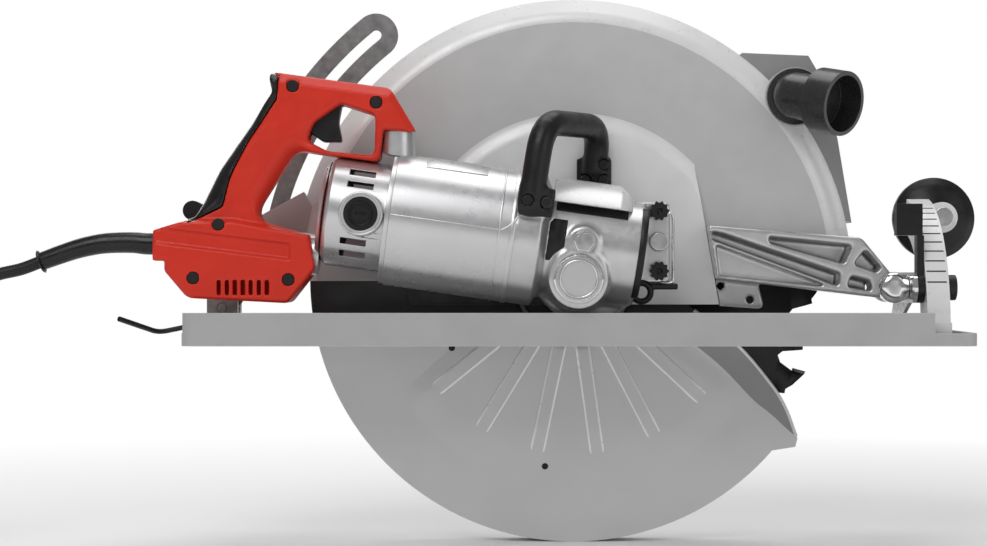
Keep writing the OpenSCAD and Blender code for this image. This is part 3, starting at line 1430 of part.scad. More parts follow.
// Armature
module worm_thread() {
    pitch = worm_lead / worm_starts;
    half = pitch / 4 - backlash / 2;
    add = gear_module * tip_share;
    ded = gear_module * root_share;
    grow = tan(flank);
    sets = [[-ded, -1], [0, -1], [add, -1], [add, 0], [add, 1], [0, 1], [-ded, 1]];
    // The thread's two crests lie either side of the gap that meets the wheel at rest
    pts = [for (i = [0:worm_starts - 1]) let (mid = (i + 0.5) * pitch) each concat(
        [for (s = sets) polar(worm_r + s[0], -(mid + s[1] * (half - s[0] * grow)) / worm_lead * -360)],
        [polar(worm_r - ded, (mid + pitch / 2) / worm_lead * 360)])];
    turns = worm_len / worm_lead * 360;
    rotate([0, 90, 0]) linear_extrude(worm_len, center = true, twist = -turns, slices = worm_slices,
        $fn = gear_sides)
        rotate(-turns / 2) polygon(pts);
}
module armature_shaft() {
    r = motor_shaft_d / 2;
    color("lightgray") at_motor() {
        worm_thread();
        x_cyl(-worm_bearing_x - front_bearing_w, -worm_len / 2, r);
        x_cyl(-bell_end + motor_wall + gap, -worm_bearing_x - front_bearing_w, rear_journal_r);
        x_cyl(worm_len / 2, barrel_end - nose_bearing_w - gap, nose_journal_r);
    }
}
module armature_core() {
    x0 = -motor_front - core_front - core_len;
    comm_x = -bell_front - brush_back - comm_len / 2;
    color("sienna") at_motor() difference() {
        union() {
            x_cyl(x0, x0 + core_len, core_r);
            x_cyl(comm_x, comm_x + comm_len, comm_r);
            x_cyl(comm_x, x0, comm_r * neck_share);
        }
        x_cyl(comm_x - over, x0 + core_len + over, rear_journal_r + fit);
    }
}
module cooling_fan() {
    x0 = -motor_front - fan_front - fan_t;
    color("black") at_motor() difference() {
        union() {
            x_cyl(x0, x0 + fan_plate, fan_r);
            x_cyl(x0, x0 + fan_t, fan_hub_r);
            for (i = [0:fan_blades - 1]) rotate([360 * i / fan_blades, 0, 0])
                span_box([x0, x0 + fan_t], [-fan_blade_t / 2, fan_blade_t / 2], [fan_hub_r - over,
                    fan_r - over]);
        }
        x_cyl(x0 - over, x0 + fan_t + over, rear_journal_r + fit);
    }
}

// Cord
module strain_relief() {
    n = len(sleeve_route);
    color("black") {
        tube(sleeve_route, [for (i = [0:n - 1]) (sleeve_d0 + (sleeve_d1 - sleeve_d0) * i / (n - 1)) / 2],
            sleeve_sides);
        tube(sleeve_lip, [sleeve_lip_d / 2, sleeve_lip_d / 2], sleeve_sides);
    }
}
coil_start = [coil_x + coil_out_r, coil_y - cord_d, coil_z];
run_points = concat(cord_route, [coil_start - [0, cord_d, 0], coil_start]);
module cord_run() { color("black") tube(run_points, [for (p = run_points) cord_d / 2], run_sides); }
// The turns spiral in on the floor, climb a layer, and spiral out again
coil_mid = cord_loops / 2;
function coil_r(u) = coil_out_r - coil_pitch * (coil_mid - abs(u - coil_mid));
function climb(u) = min(1, max(0, (u - coil_mid + 0.25) * 2));
function coil_h(u) = coil_z + layer_pitch * climb(u) * climb(u) * (3 - 2 * climb(u));
function coil_at(u) = [coil_x + coil_r(u) * cos(360 * u), coil_y + coil_r(u) * sin(360 * u), coil_h(u)];
coil_turns = [for (i = [0:cord_loops * coil_rings]) coil_at(i / coil_rings)];
coil_end = coil_at(cord_loops) + [0, coil_tail, 0];
coil_points = concat([coil_start], coil_turns, [coil_end]);
coil_least = min([for (i = [0:len(coil_turns) - 1]) for (j = [i + coil_rings / 2:1:len(coil_turns) - 1])
    norm(coil_turns[i] - coil_turns[j])]) - cord_d;
echo(coil_least_gap_mm = coil_least);
module cord_coil() { color("black") tube(coil_points, [for (p = coil_points) cord_d / 2], coil_sides); }
module cord_tie() {
    in_x = coil_x - coil_r(coil_mid) + cord_d / 2 + tie_bow + tie_gap;
    out_x = coil_x - coil_r(0.5) - cord_d / 2 - tie_gap;
    low = coil_z - cord_d / 2 - tie_gap;
    high = coil_z + layer_pitch + cord_d / 2 + tie_gap;
    color("dimgray") difference() {
        span_box([out_x - tie_t, in_x + tie_t], [coil_y - tie_w / 2, coil_y + tie_w / 2], [low - tie_t,
            high + tie_t]);
        span_box([out_x, in_x], [coil_y - tie_w, coil_y + tie_w], [low, high]);
    }
}
module power_plug() {
    plug_big_r = coil_end[2] - floor_z - gap;
    y1 = mains_neck + mains_plug_len;
    color("black") translate(coil_end) {
        y_turned() polygon([[0, 0], [cord_d / 2, 0], [cord_d, mains_neck], [plug_big_r, mains_neck + cord_d],
            [plug_big_r, y1], [0, y1]]);
        for (s = [-1, 1]) span_box([s * mains_pin_out - mains_pin_t / 2, s * mains_pin_out + mains_pin_t / 2],
            [y1, y1 + mains_pin_len], [-mains_pin_w / 2, mains_pin_w / 2]);
        translate([0, 0, mains_earth_up]) y_cyl(y1, y1 + mains_pin_len, mains_earth_r);
    }
}

foot();
bevel_quadrant();
bevel_pivot_pins();
front_knob();
knob_bolt();
bevel_stop_screw();
front_knuckle();
depth_pins();
bevel_clamp_bolt();
rear_carrier();
depth_link();
bevel_lever();
rear_lock_lever();
upper_guard();
guard_cover();
guard_screws();
front_arm();
depth_clamp_bolt();
depth_lever();
dust_nozzle();
gear_case();
gear_fairing();
oil_cap();
oil_plug();
thumbscrews();
spindle_lock_pin();
motor_housing();
end_bell();
brush_caps();
brushes();
field_stator();
motor_bearings();
arbor_bearings();
handle_near();
handle_far();
grip_pad();
handle_screws();
switch_module();
trigger();
carry_handle();
carry_screws();
guard_retainer();
guard_spring();
lower_guard();
blade();
blade_tips();
arbor_shaft();
worm_wheel();
inner_flange();
outer_flange();
blade_bolt();
armature_shaft();
armature_core();
cooling_fan();
strain_relief();
cord_run();
cord_coil();
cord_tie();
power_plug();
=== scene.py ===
"""Worm drive circular saw: finishes, moulded and cast forms, cord, light and camera."""
import json
import math

import bpy
import numpy as np
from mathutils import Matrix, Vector


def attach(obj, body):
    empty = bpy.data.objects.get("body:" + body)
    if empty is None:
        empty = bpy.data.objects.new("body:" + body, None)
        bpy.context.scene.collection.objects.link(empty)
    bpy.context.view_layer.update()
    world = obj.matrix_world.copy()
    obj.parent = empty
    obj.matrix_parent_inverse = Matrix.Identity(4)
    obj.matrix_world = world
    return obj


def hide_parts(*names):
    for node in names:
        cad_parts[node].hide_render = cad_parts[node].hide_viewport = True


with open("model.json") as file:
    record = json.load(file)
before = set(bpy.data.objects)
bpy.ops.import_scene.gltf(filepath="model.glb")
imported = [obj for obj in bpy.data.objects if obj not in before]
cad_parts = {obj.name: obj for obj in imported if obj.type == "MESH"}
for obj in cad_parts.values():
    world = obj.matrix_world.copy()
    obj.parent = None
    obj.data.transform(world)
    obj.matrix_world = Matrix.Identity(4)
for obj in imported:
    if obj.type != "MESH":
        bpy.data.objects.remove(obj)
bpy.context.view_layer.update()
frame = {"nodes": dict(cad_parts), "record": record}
nodes = frame["nodes"]
scene = bpy.context.scene
MM = 0.001

# Sizes that several forms share, in millimetres
ARBOR_Y, ARBOR_Z = 88.0, 52.0
FLOOR = -163.8
TILT = math.radians(8)
WORM_UP = 26.0
MOTOR_R, BARREL_R = 52.0, 40.0
CASE_FAR = 53.0
GUARD_FACE = 74.0
LOWER_GUARD_R = 215.8
CORD_R = 5.0
HOLE_EDGE = 0.1

# Camera, in metres, and its lens in millimetres
CAMERA_AT = (-0.0653, -1.712, 0.0565)
LENS, SENSOR = 79.4, 36
camera = bpy.data.objects.new("camera", bpy.data.cameras.new("camera"))
scene.collection.objects.link(camera)
camera.location = CAMERA_AT
camera.rotation_euler = (math.pi / 2, 0, 0)
camera.data.lens = LENS
camera.data.sensor_width = SENSOR
scene.camera = camera

# Finishes
MIX_FROM, MIX_TO, MIX_RESULT = 6, 7, 2
NOISE_LOW, NOISE_HIGH = 0.3, 0.7
CLOUD_DETAIL, GLOSS_DETAIL, GRAIN_DETAIL, WEAR_DETAIL = 5.0, 1.0, 3.0, 6.0
GLOSS_FINER, WEAR_FINER = 4, 6
SMOOTHEST = 0.02
GRAIN_DEPTH = 0.0002
EDGE_SOUND, EDGE_WORN = 0.995, 0.93
# Colour of painted shade, laid on surfaces where shadow would fall
PAINTED_SHADE = (0.035, 0.035, 0.035)


def add(tree, kind, operation=None, **inputs):
    """A new shader node with its operation and inputs set."""
    made = tree.nodes.new(kind)
    if operation:
        made.operation = operation
    for key, value in inputs.items():
        made.inputs[key.replace("_", " ")].default_value = value
    return made


def mixed(tree, share, tint, colour):
    """A tint that goes over to a plain colour by a share."""
    mix = tree.nodes.new("ShaderNodeMix")
    mix.data_type = "RGBA"
    tree.links.new(share, mix.inputs["Factor"])
    tree.links.new(tint, mix.inputs[MIX_FROM])
    mix.inputs[MIX_TO].default_value = (*colour, 1)
    return mix.outputs[MIX_RESULT]


def times(tree, first, second):
    """The product of two values."""
    both = add(tree, "ShaderNodeMath", "MULTIPLY")
    tree.links.new(first, both.inputs[0])
    tree.links.new(second, both.inputs[1])
    return both.outputs["Value"]


def worn_share(tree, radius):
    """A share that is 1 on sharp edges and 0 on flat faces."""
    edge = add(tree, "ShaderNodeBevel", Radius=radius)
    plain = add(tree, "ShaderNodeNewGeometry")
    dot = add(tree, "ShaderNodeVectorMath", "DOT_PRODUCT")
    tree.links.new(edge.outputs["Normal"], dot.inputs[0])
    tree.links.new(plain.outputs["Normal"], dot.inputs[1])
    span = add(tree, "ShaderNodeMapRange", From_Min=EDGE_SOUND, From_Max=EDGE_WORN)
    tree.links.new(dot.outputs["Value"], span.inputs["Value"])
    return span.outputs["Result"]


def plane_share(tree, place, normal, first, last):
    """A share that goes from 0 to 1 between two distances along a normal."""
    dot = add(tree, "ShaderNodeVectorMath", "DOT_PRODUCT")
    dot.inputs[1].default_value = normal
    tree.links.new(place, dot.inputs[0])
    span = add(tree, "ShaderNodeMapRange", From_Min=first, From_Max=last)
    tree.links.new(dot.outputs["Value"], span.inputs["Value"])
    return span.outputs["Result"]


def finish(name, colour, rough, metal=0.0, spread=0.06, scale=35.0, rough_spread=0.07, grain=1400.0,
           bump=0.12, stretch=(1, 1, 1), shine=0.5, wear=None, wear_r=0.0012, painted_shade=()):
    """A procedural finish: cloudy colour, uneven gloss, fine grain and painted shade.

    wear is the colour of worn edges. The last argument lists planes for painted shade, each a normal and the
    distances along it where the painted shade begins and is full; the painted shade lies where all of them
    have it.
    """
    made = bpy.data.materials.new(name)
    made.use_nodes = True
    tree = made.node_tree
    shader = tree.nodes["Principled BSDF"]
    shader.inputs["Metallic"].default_value = metal
    shader.inputs["Specular IOR Level"].default_value = shine
    place = add(tree, "ShaderNodeTexCoord").outputs["Object"]
    stretched = add(tree, "ShaderNodeMapping", Scale=stretch)
    tree.links.new(place, stretched.inputs["Vector"])

    def noise(size, detail):
        cloud = add(tree, "ShaderNodeTexNoise", Scale=size, Detail=detail)
        tree.links.new(stretched.outputs["Vector"], cloud.inputs["Vector"])
        return cloud.outputs["Fac"]

    ramp = add(tree, "ShaderNodeValToRGB")
    stops = zip(ramp.color_ramp.elements, (NOISE_LOW, NOISE_HIGH), (1 - spread, 1 + spread))
    for stop, at, share in stops:
        stop.position = at
        stop.color = [min(1.0, c * share) for c in colour] + [1.0]
    tree.links.new(noise(scale, CLOUD_DETAIL), ramp.inputs["Fac"])
    tint = ramp.outputs["Color"]
    if wear:
        patches = noise(scale * WEAR_FINER, WEAR_DETAIL)
        tint = mixed(tree, times(tree, worn_share(tree, wear_r), patches), tint, wear)
    # Painted shade: the colour goes over to a near black where shadow would fall
    if painted_shade:
        shares = [plane_share(tree, place, *plane) for plane in painted_shade]
        shade = shares[0]
        for share in shares[1:]:
            shade = times(tree, shade, share)
        tint = mixed(tree, shade, tint, PAINTED_SHADE)
    tree.links.new(tint, shader.inputs["Base Color"])

    gloss = add(tree, "ShaderNodeMapRange", From_Min=NOISE_LOW, From_Max=NOISE_HIGH,
                To_Min=max(SMOOTHEST, rough - rough_spread), To_Max=rough + rough_spread)
    tree.links.new(noise(scale * GLOSS_FINER, GLOSS_DETAIL), gloss.inputs["Value"])
    tree.links.new(gloss.outputs["Result"], shader.inputs["Roughness"])
    relief = add(tree, "ShaderNodeBump", Strength=bump, Distance=GRAIN_DEPTH)
    tree.links.new(noise(grain, GRAIN_DETAIL), relief.inputs["Height"])
    tree.links.new(relief.outputs["Normal"], shader.inputs["Normal"])
    return made


def grey(tone):
    """A neutral colour."""
    return (tone, tone, tone)


BARE = grey(0.66)
# Finishes of the material slots
SHARED_FINISHES = {
    "foot_zinc": dict(colour=(0.42, 0.42, 0.425), rough=0.45, metal=0.2, spread=0.04, grain=1300, bump=0.08,
                      wear=BARE),
    "cast_grey": dict(colour=grey(0.5), rough=0.42, metal=0.1, spread=0.03, grain=1600, bump=0.05, wear=BARE),
    "bright_alloy": dict(colour=grey(0.58), rough=0.31, metal=0.8, spread=0.05, scale=60, rough_spread=0.03,
                         grain=600, bump=0.008),
    "motor_silver": dict(colour=(0.62, 0.62, 0.63), rough=0.3, metal=0.8, spread=0.03, rough_spread=0.03,
                         grain=600, bump=0.006),
    "chrome": dict(colour=(0.78, 0.78, 0.79), rough=0.14, metal=1.0, spread=0.03, rough_spread=0.04,
                   grain=500, bump=0.004),
    "plain_steel": dict(colour=grey(0.26), rough=0.42, metal=0.6, spread=0.18, scale=120, rough_spread=0.1,
                        grain=900, bump=0.4),
    "black_steel": dict(colour=(0.012, 0.012, 0.0125), rough=0.38, metal=0.2, spread=0.2, shine=0.4,
                        wear=grey(0.12)),
    "blade_steel": dict(colour=(0.012, 0.012, 0.0125), rough=0.42, metal=0.2, spread=0.2, scale=60,
                        rough_spread=0.1, grain=600, bump=0.15, stretch=(1, 1, 6), shine=0.35),
    "carbide": dict(colour=(0.12, 0.12, 0.125), rough=0.35, metal=0.7, spread=0.1),
    "black_plastic": dict(colour=(0.007, 0.007, 0.0073), rough=0.36, spread=0.2, grain=1500, bump=0.22,
                          shine=0.35),
    "red_plastic": dict(colour=(0.62, 0.028, 0.012), rough=0.36, spread=0.05, grain=1700, bump=0.14,
                        shine=0.3, wear=(0.8, 0.1, 0.06), wear_r=0.001),
    "black_rubber": dict(colour=(0.007, 0.007, 0.0073), rough=0.3, spread=0.2, grain=1900, shine=0.4),
    "cord_rubber": dict(colour=(0.008, 0.008, 0.0083), rough=0.42, spread=0.2, grain=1200, bump=0.25,
                        shine=0.35),
    "bronze": dict(colour=(0.45, 0.29, 0.12), rough=0.35, metal=1.0, spread=0.1),
    "copper_core": dict(colour=(0.42, 0.17, 0.08), rough=0.4, metal=0.9, spread=0.15, scale=90),
}
# Straight down from the motor's axis, the direction along which the plateau's painted shade grows
UNDER_MOTOR = (-math.sin(TILT), 0, -math.cos(TILT))
# Finishes of single nodes, pieces and faces, some with painted highlights and painted shade
SPECIAL_FINISHES = {
    "guard_rim": dict(colour=grey(0.74), rough=0.34, metal=0.1, spread=0.03, grain=1100, bump=0.08),
    # The lower guard's satin metal, with painted shade above Z 5 mm, where it shows between the foot and the
    # upper guard
    "guard_satin_and_shade": dict(colour=grey(0.62), rough=0.36, metal=0.12, spread=0.03, scale=18, grain=2600,
                        bump=0.05, painted_shade=[((0, 0, 1), -0.001, 0.005)]),
    # A darker copy of the guard metal as painted shade, on the lower guard's front facet and the set-back
    # chute face
    "painted_shadow_grey": dict(colour=grey(0.28), rough=0.4, metal=0.2, spread=0.04, grain=2400, bump=0.05),
    "fairing": dict(colour=grey(0.74), rough=0.3, metal=0.3, spread=0.03, rough_spread=0.03, grain=600,
                    bump=0.006),
    "link_grey": dict(colour=grey(0.2), rough=0.5, metal=0.35, spread=0.25, scale=160, rough_spread=0.1,
                      grain=900, bump=0.4),
    # The guard's plateau, with painted shade on its low rear part under the motor
    "plateau": dict(colour=grey(0.74), rough=0.36, metal=0.1, spread=0.03, grain=1100, bump=0.05,
                    painted_shade=[(UNDER_MOTOR, -0.0368, -0.0348), ((-1, 0, 0), -0.022, -0.012)]),
    # A near white that paints highlights on the flutes' edges
    "flute_painted_highlight": dict(colour=grey(0.93), rough=0.3, metal=0.2, spread=0.02, rough_spread=0.03, bump=0.03),
    "nozzle_black": dict(colour=grey(0.018), rough=0.27, spread=0.2, rough_spread=0.04, bump=0.1, shine=0.7),
    "scale_black": dict(colour=grey(0.01), rough=0.5, spread=0.1, shine=0.3),
}
LOOK = {name: finish(name, **values) for name, values in (SHARED_FINISHES | SPECIAL_FINISHES).items()}


# Mesh helpers
def piece(name, points, faces, body, slot, stands_for=(), sharp=45, look=None):
    """A mesh in millimetres that rides on a body and may stand for CAD nodes."""
    mesh = bpy.data.meshes.new(name)
    mesh.from_pydata((np.asarray(points, float) * MM).tolist(), [], faces)
    mesh.materials.append(LOOK[look or slot])
    mesh.shade_smooth()
    mesh.set_sharp_from_angle(angle=math.radians(sharp))
    made = bpy.data.objects.new(name, mesh)
    scene.collection.objects.link(made)
    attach(made, body)
    if stands_for:
        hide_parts(*stands_for)
    return made


def grid(rows, cols, closed=False, flip=False):
    """Four-sided faces between points that lie row after row."""
    faces = []
    for i in range(rows - 1):
        for j in range(cols if closed else cols - 1):
            a, b = i * cols + j, i * cols + (j + 1) % cols
            faces.append([a, a + cols, b + cols, b] if flip else [a, b, b + cols, a + cols])
    return faces


def skin(field, low, high, step):
    """Points and four-sided faces on the zero surface of a field that is negative inside."""
    axes = [np.arange(a - 2 * step, b + 3 * step, step) for a, b in zip(low, high)]
    value = field(*np.meshgrid(*axes, indexing="ij"))
    inside = value < 0
    n = [len(a) - 1 for a in axes]

    # Each cell that the surface crosses gets one point, the mean of the crossings on its edges
    total = np.zeros((*n, 3))
    hits = np.zeros(n)
    for axis in range(3):
        for a in (0, 1):
            for b in (0, 1):
                near, far = [a, b], [a, b]
                near.insert(axis, 0)
                far.insert(axis, 1)
                f0, f1 = (value[tuple(slice(c, c + m) for c, m in zip(at, n))] for at in (near, far))
                cross = (f0 < 0) != (f1 < 0)
                part = np.where(cross, f0 / np.where(cross, f0 - f1, 1), 0)
                for d in range(3):
                    total[..., d] += part if d == axis else near[d] * cross
                hits += cross
    cells = hits > 0
    index = np.full(n, -1)
    index[cells] = np.arange(cells.sum())
    origin = np.array([a[0] for a in axes])
    points = origin + step * (np.argwhere(cells) + total[cells] / hits[cells][:, None])

    # Each grid edge that the surface crosses gets a face between its four cells
    faces = []
    for axis in range(3):
        u, v = [d for d in range(3) if d != axis]
        start = [slice(1, m) for m in n]
        start[axis] = slice(0, n[axis])
        end = list(start)
        end[axis] = slice(1, n[axis] + 1)
        s0, s1 = inside[tuple(start)], inside[tuple(end)]
        for flip, mask in ((False, s0 & ~s1), (True, ~s0 & s1)):
            at = np.argwhere(mask) + [int(d != axis) for d in range(3)]
            quad = []
            for du, dv in ((0, 0), (1, 0), (1, 1), (0, 1)):
                q = at.copy()
                q[:, u] -= du
                q[:, v] -= dv
                quad.append(index[q[:, 0], q[:, 1], q[:, 2]])
            quads = np.stack(quad, 1)
            faces.append(quads[:, ::-1] if (axis == 1) != flip else quads)
    return points, np.concatenate(faces).tolist()


def smooth(t):
    """A soft step from 0 to 1."""
    t = np.clip(t, 0, 1)
    return t * t * (3 - 2 * t)


def join(a, b, k):
    """Two fields joined with a fillet of about k."""
    h = np.clip(0.5 + 0.5 * (b - a) / k, 0, 1)
    return b + (a - b) * h - k * h * (1 - h)


def cut(a, b, k=0.4):
    """Field a with field b taken out of it."""
    return -join(-a, b, k)


def filleted(corners, origin, size, steps=6):
    """Outline points of corners given as shares [x, z, radius as a share of the height]."""
    shortest, most = 0.05, 0.48
    at = [np.array([origin[0] + c[0] * size[0], origin[1] + c[1] * size[1]]) for c in corners]
    out = []
    for i, c in enumerate(corners):
        p, a, b = at[i], at[i - 1], at[(i + 1) % len(at)]
        la, lb = np.linalg.norm(a - p), np.linalg.norm(b - p)
        ua, ub = (a - p) / la, (b - p) / lb
        half = math.acos(max(-1.0, min(1.0, float(ua @ ub)))) / 2
        reach = min(c[2] * size[1] / max(math.tan(half), 0.01), most * la, most * lb)
        if reach < shortest:
            out.append(p)
            continue
        for t in np.linspace(0, 1, steps + 1):
            out.append((1 - t) ** 2 * (p + ua * reach) + 2 * t * (1 - t) * p + t * t * (p + ub * reach))
    return np.array(out)


def flat(outline, x, z):
    """Signed distance to a closed outline in the X-Z plane."""
    best = np.full(x.shape, 1e9)
    inside = np.zeros(x.shape, bool)
    for (ax, az), (bx, bz) in zip(outline, np.roll(outline, -1, 0)):
        ex, ez = bx - ax, bz - az
        t = np.clip(((x - ax) * ex + (z - az) * ez) / (ex * ex + ez * ez + 1e-9), 0, 1)
        best = np.minimum(best, (x - ax - t * ex) ** 2 + (z - az - t * ez) ** 2)
        if ez:
            inside ^= ((az > z) != (bz > z)) & (x < ex * (z - az) / ez + ax)
    return np.where(inside, -np.sqrt(best), np.sqrt(best))


def prism(outline, x, z):
    """Signed distance to an outline that runs on along Y, worked out on one layer of the grid."""
    return flat(outline, x[:, 0, :], z[:, 0, :])[:, None, :]


def slab(v, low, high):
    """Signed distance to a layer between low and high."""
    return np.abs(v - (low + high) / 2) - (high - low) / 2


def rounded(side, deep, r):
    """Two fields' common part with the edge between them rounded to r."""
    a, b = side + r, deep + r
    return np.minimum(np.maximum(a, b), 0) + np.hypot(np.maximum(a, 0), np.maximum(b, 0)) - r


def plate(outline, x, y, z, low, high, r):
    """An outline extruded from low to high along Y with edges rounded to r."""
    return rounded(prism(outline, x, z), slab(y, low, high), r)


def rod(x, y, z, at, r, low, high, edge=1.5):
    """A round bar along Y through (x, z) with rounded rims."""
    return rounded(np.hypot(x - at[0], z - at[1]) - r, slab(y, low, high), edge)


def block(x, y, z, low, high, r=1.5):
    """A box with rounded edges."""
    d = [slab(v, a, b) + r for v, a, b in zip((x, y, z), low, high)]
    out = np.sqrt(sum(np.maximum(e, 0) ** 2 for e in d))
    return out + np.minimum(np.maximum(np.maximum(d[0], d[1]), d[2]), 0) - r


def chain(x, y, z, points, r):
    """A round bar along a line of points."""
    best = np.full(x.shape, 1e9)
    for a, b in zip(points, points[1:]):
        e = b - a
        t = np.clip(((x - a[0]) * e[0] + (y - a[1]) * e[1] + (z - a[2]) * e[2]) / (e @ e), 0, 1)
        best = np.minimum(best, (x - a[0] - t * e[0]) ** 2 + (y - a[1] - t * e[1]) ** 2
                          + (z - a[2] - t * e[2]) ** 2)
    return np.sqrt(best) - r


def motor(x, z):
    """Place along and above the motor's axis."""
    dz = z - ARBOR_Z
    return x * math.cos(TILT) - dz * math.sin(TILT), x * math.sin(TILT) + dz * math.cos(TILT) - WORM_UP


def turned(along, across, profile):
    """Signed distance to a turned form given by its half section (along, radius)."""
    return flat(np.array(profile), along.reshape(-1, 1), across.reshape(-1, 1)).reshape(along.shape)


def curve_through(points, steps):
    """Points on a smooth curve through the given points."""
    p = np.array(points, float)
    p = np.vstack([2 * p[0] - p[1], p, 2 * p[-1] - p[-2]])
    out = []
    for i in range(1, len(p) - 2):
        for t in np.arange(steps) / steps:
            a, b, c, d = p[i - 1:i + 3]
            out.append(0.5 * (2 * b + (c - a) * t + (2 * a - 5 * b + 4 * c - d) * t * t
                              + (3 * b - a - 3 * c + d) * t ** 3))
    return np.array(out + [p[-2]])


def tube(points, radii, sides=28):
    """A tube with closed ends along points, with a radius at each."""
    points = np.asarray(points, float)
    ahead = np.gradient(points, axis=0)
    ahead /= np.linalg.norm(ahead, axis=1)[:, None]
    up = np.array([0.0, 1.0, 0.0])
    rings = []
    angles = np.linspace(0, 2 * math.pi, sides, endpoint=False)
    for p, d, r in zip(points, ahead, radii):
        up = up - d * (up @ d)
        up /= np.linalg.norm(up)
        side = np.cross(d, up)
        rings.append(p + r * (np.cos(angles)[:, None] * up + np.sin(angles)[:, None] * side))
    last = (len(points) - 1) * sides
    ends = [list(range(sides))[::-1], list(range(last, last + sides))]
    return np.vstack(rings), grid(len(points), sides, closed=True) + ends


def wire(points, r, sides=12):
    """A tube of one thickness."""
    return tube(points, [r] * len(points), sides)


def circle(x, y, z, r, count=73):
    """Points round a circle that faces along Y."""
    return [(x + r * math.cos(a), y, z + r * math.sin(a)) for a in np.linspace(0, 2 * math.pi, count)]


SKIN_SHARP = 60

# Cord and what is on it
ROUTE = [(-421, 0, 65.5), (-437, 0, 59.5), (-456, 0, 55), (-474, 0, 47), (-491, 0, 35), (-505, 0, 19),
         (-516, 0, -2), (-524, 0, -26), (-530, 0, -52), (-532, 2, -78), (-532, 10, -104), (-532, 24, -126),
         (-532, 43, -143), (-532, 64, -153), (-532, 75, -157), (-532, 85, -157), (-532, 95, -157)]
ROUTE_STEPS = 6
COIL_AT, COIL_R, COIL_STEP, LOOPS = (-606.5, 95.0), 74.5, 11.0, 7
LOOP_POINTS = 36
CLIMB_TURNS = 0.5
CORD_LIFT = 1.8
TAIL, TAIL_POINTS = 36.0, 6
COIL_LOW = FLOOR + CORD_LIFT + CORD_R
coil = []
for u in np.linspace(0, LOOPS, LOOP_POINTS * LOOPS + 1):
    past_middle = u - LOOPS / 2
    coil_r = COIL_R - COIL_STEP * (LOOPS / 2 - abs(past_middle))
    climb = COIL_STEP * float(smooth((past_middle + CLIMB_TURNS / 2) / CLIMB_TURNS))
    turn = 2 * math.pi * u
    coil.append((COIL_AT[0] + coil_r * math.cos(turn), COIL_AT[1] + coil_r * math.sin(turn),
                 COIL_LOW + climb))
end_x, end_y, end_z = coil[-1]
tail = [(end_x, end_y + TAIL * i / TAIL_POINTS, end_z) for i in range(1, TAIL_POINTS + 1)]
line = np.vstack([curve_through(ROUTE, ROUTE_STEPS), coil[1:], tail])
data = bpy.data.curves.new("cord", "CURVE")
data.dimensions = "3D"
data.bevel_depth = CORD_R * MM
data.bevel_resolution = 5
data.use_fill_caps = True
spline = data.splines.new("POLY")
spline.points.add(len(line) - 1)
for point, p in zip(spline.points, line):
    point.co = (*(p * MM), 1)
data.materials.append(LOOK["cord_rubber"])
cord = bpy.data.objects.new("cord", data)
scene.collection.objects.link(cord)
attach(cord, "head")
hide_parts("cord_run", "cord_coil")

SLEEVE = [(-326, 0, 79.5), (-338, 0, 79.5), (-350, 0, 80.5), (-369, 0, 80), (-382, 0, 78), (-394, 0, 75),
          (-406, 0, 71), (-417, 0, 67), (-422, 0, 65.1)]
SLEEVE_STEPS = 16
SLEEVE_R, SLEEVE_TAPER = 8.75, 1.75
COLLAR_R, COLLAR_FALL = 9.6, 1.2
COLLAR_SHARE, COLLAR_HALF_SHARE = 0.97, 0.03


def sleeve_r(share):
    """The sleeve's radius at a share of its length: a taper and a collar at the end."""
    if share > COLLAR_SHARE - COLLAR_HALF_SHARE:
        return COLLAR_R - COLLAR_FALL * abs(share - COLLAR_SHARE) / COLLAR_HALF_SHARE
    return SLEEVE_R - SLEEVE_TAPER * share


sleeve_line = curve_through(SLEEVE, SLEEVE_STEPS)
sleeve_radii = [sleeve_r(share) for share in np.linspace(0, 1, len(sleeve_line))]
sleeve = piece("strain_relief_boot", *tube(sleeve_line, sleeve_radii), "head", "black_rubber",
               ["strain_relief"])

# Main handle: two red shells and the rubber grip
HANDLE_AT, HANDLE_SIZE = (-330.0, 33.0), (205.0, 183.0)


def on_handle(corners):
    """An outline whose corners are shares of the handle's length and height."""
    return filleted(corners, HANDLE_AT, HANDLE_SIZE)


HANDLE = on_handle([
    [0.434, 0.99, 0.05], [0.898, 0.918, 0.05], [1, 0.727, 0.015], [0.873, 0.738, 0], [0.858, 0.6, 0.03],
    [0.537, 0.652, 0.07], [0.371, 0.36, 0.06], [0.595, 0.29, 0.015], [0.615, 0.148, 0.03], [0.512, 0, 0.03],
    [0.132, 0.022, 0.06], [0.045, 0.137, 0.02], [0.045, 0.18, 0], [0, 0.18, 0.01], [0, 0.311, 0.01],
    [0.068, 0.333, 0.02], [0.161, 0.366, 0.03], [0.249, 0.568, 0.3], [0.405, 0.82, 0.2], [0.452, 0.9, 0.03]])
FINGER_GAP = on_handle([[0.712, 0.85, 0.02], [0.842, 0.803, 0.03], [0.838, 0.628, 0.03], [0.66, 0.648, 0.06],
                        [0.58, 0.694, 0.03], [0.61, 0.77, 0.05]])
PAD = on_handle([[0.37, 1.02, 0], [0.472, 0.97, 0.01], [0.468, 0.87, 0.03], [0.36, 0.69, 0.3],
                 [0.29, 0.54, 0.3], [0.262, 0.41, 0.03], [0.13, 0.34, 0], [0.1, 0.5, 0]])
WIDE_BOX = on_handle([[-0.1, -0.1, 0], [-0.1, 0.35, 0], [0.3, 0.35, 0], [0.7, 0.27, 0], [0.7, -0.1, 0]])
TRIGGER = on_handle([[0.7, 0.862, 0.01], [0.712, 0.852, 0.01], [0.698, 0.775, 0.1], [0.712, 0.69, 0.01],
                     [0.64, 0.69, 0.03], [0.6, 0.72, 0.03], [0.56, 0.76, 0.02], [0.575, 0.85, 0.02]])
GRIP_HALF, BOX_MORE, BOX_FADE = 18.0, 8.0, 4.0
EDGE_R, GRIP_R_MORE = 3.2, 9.8
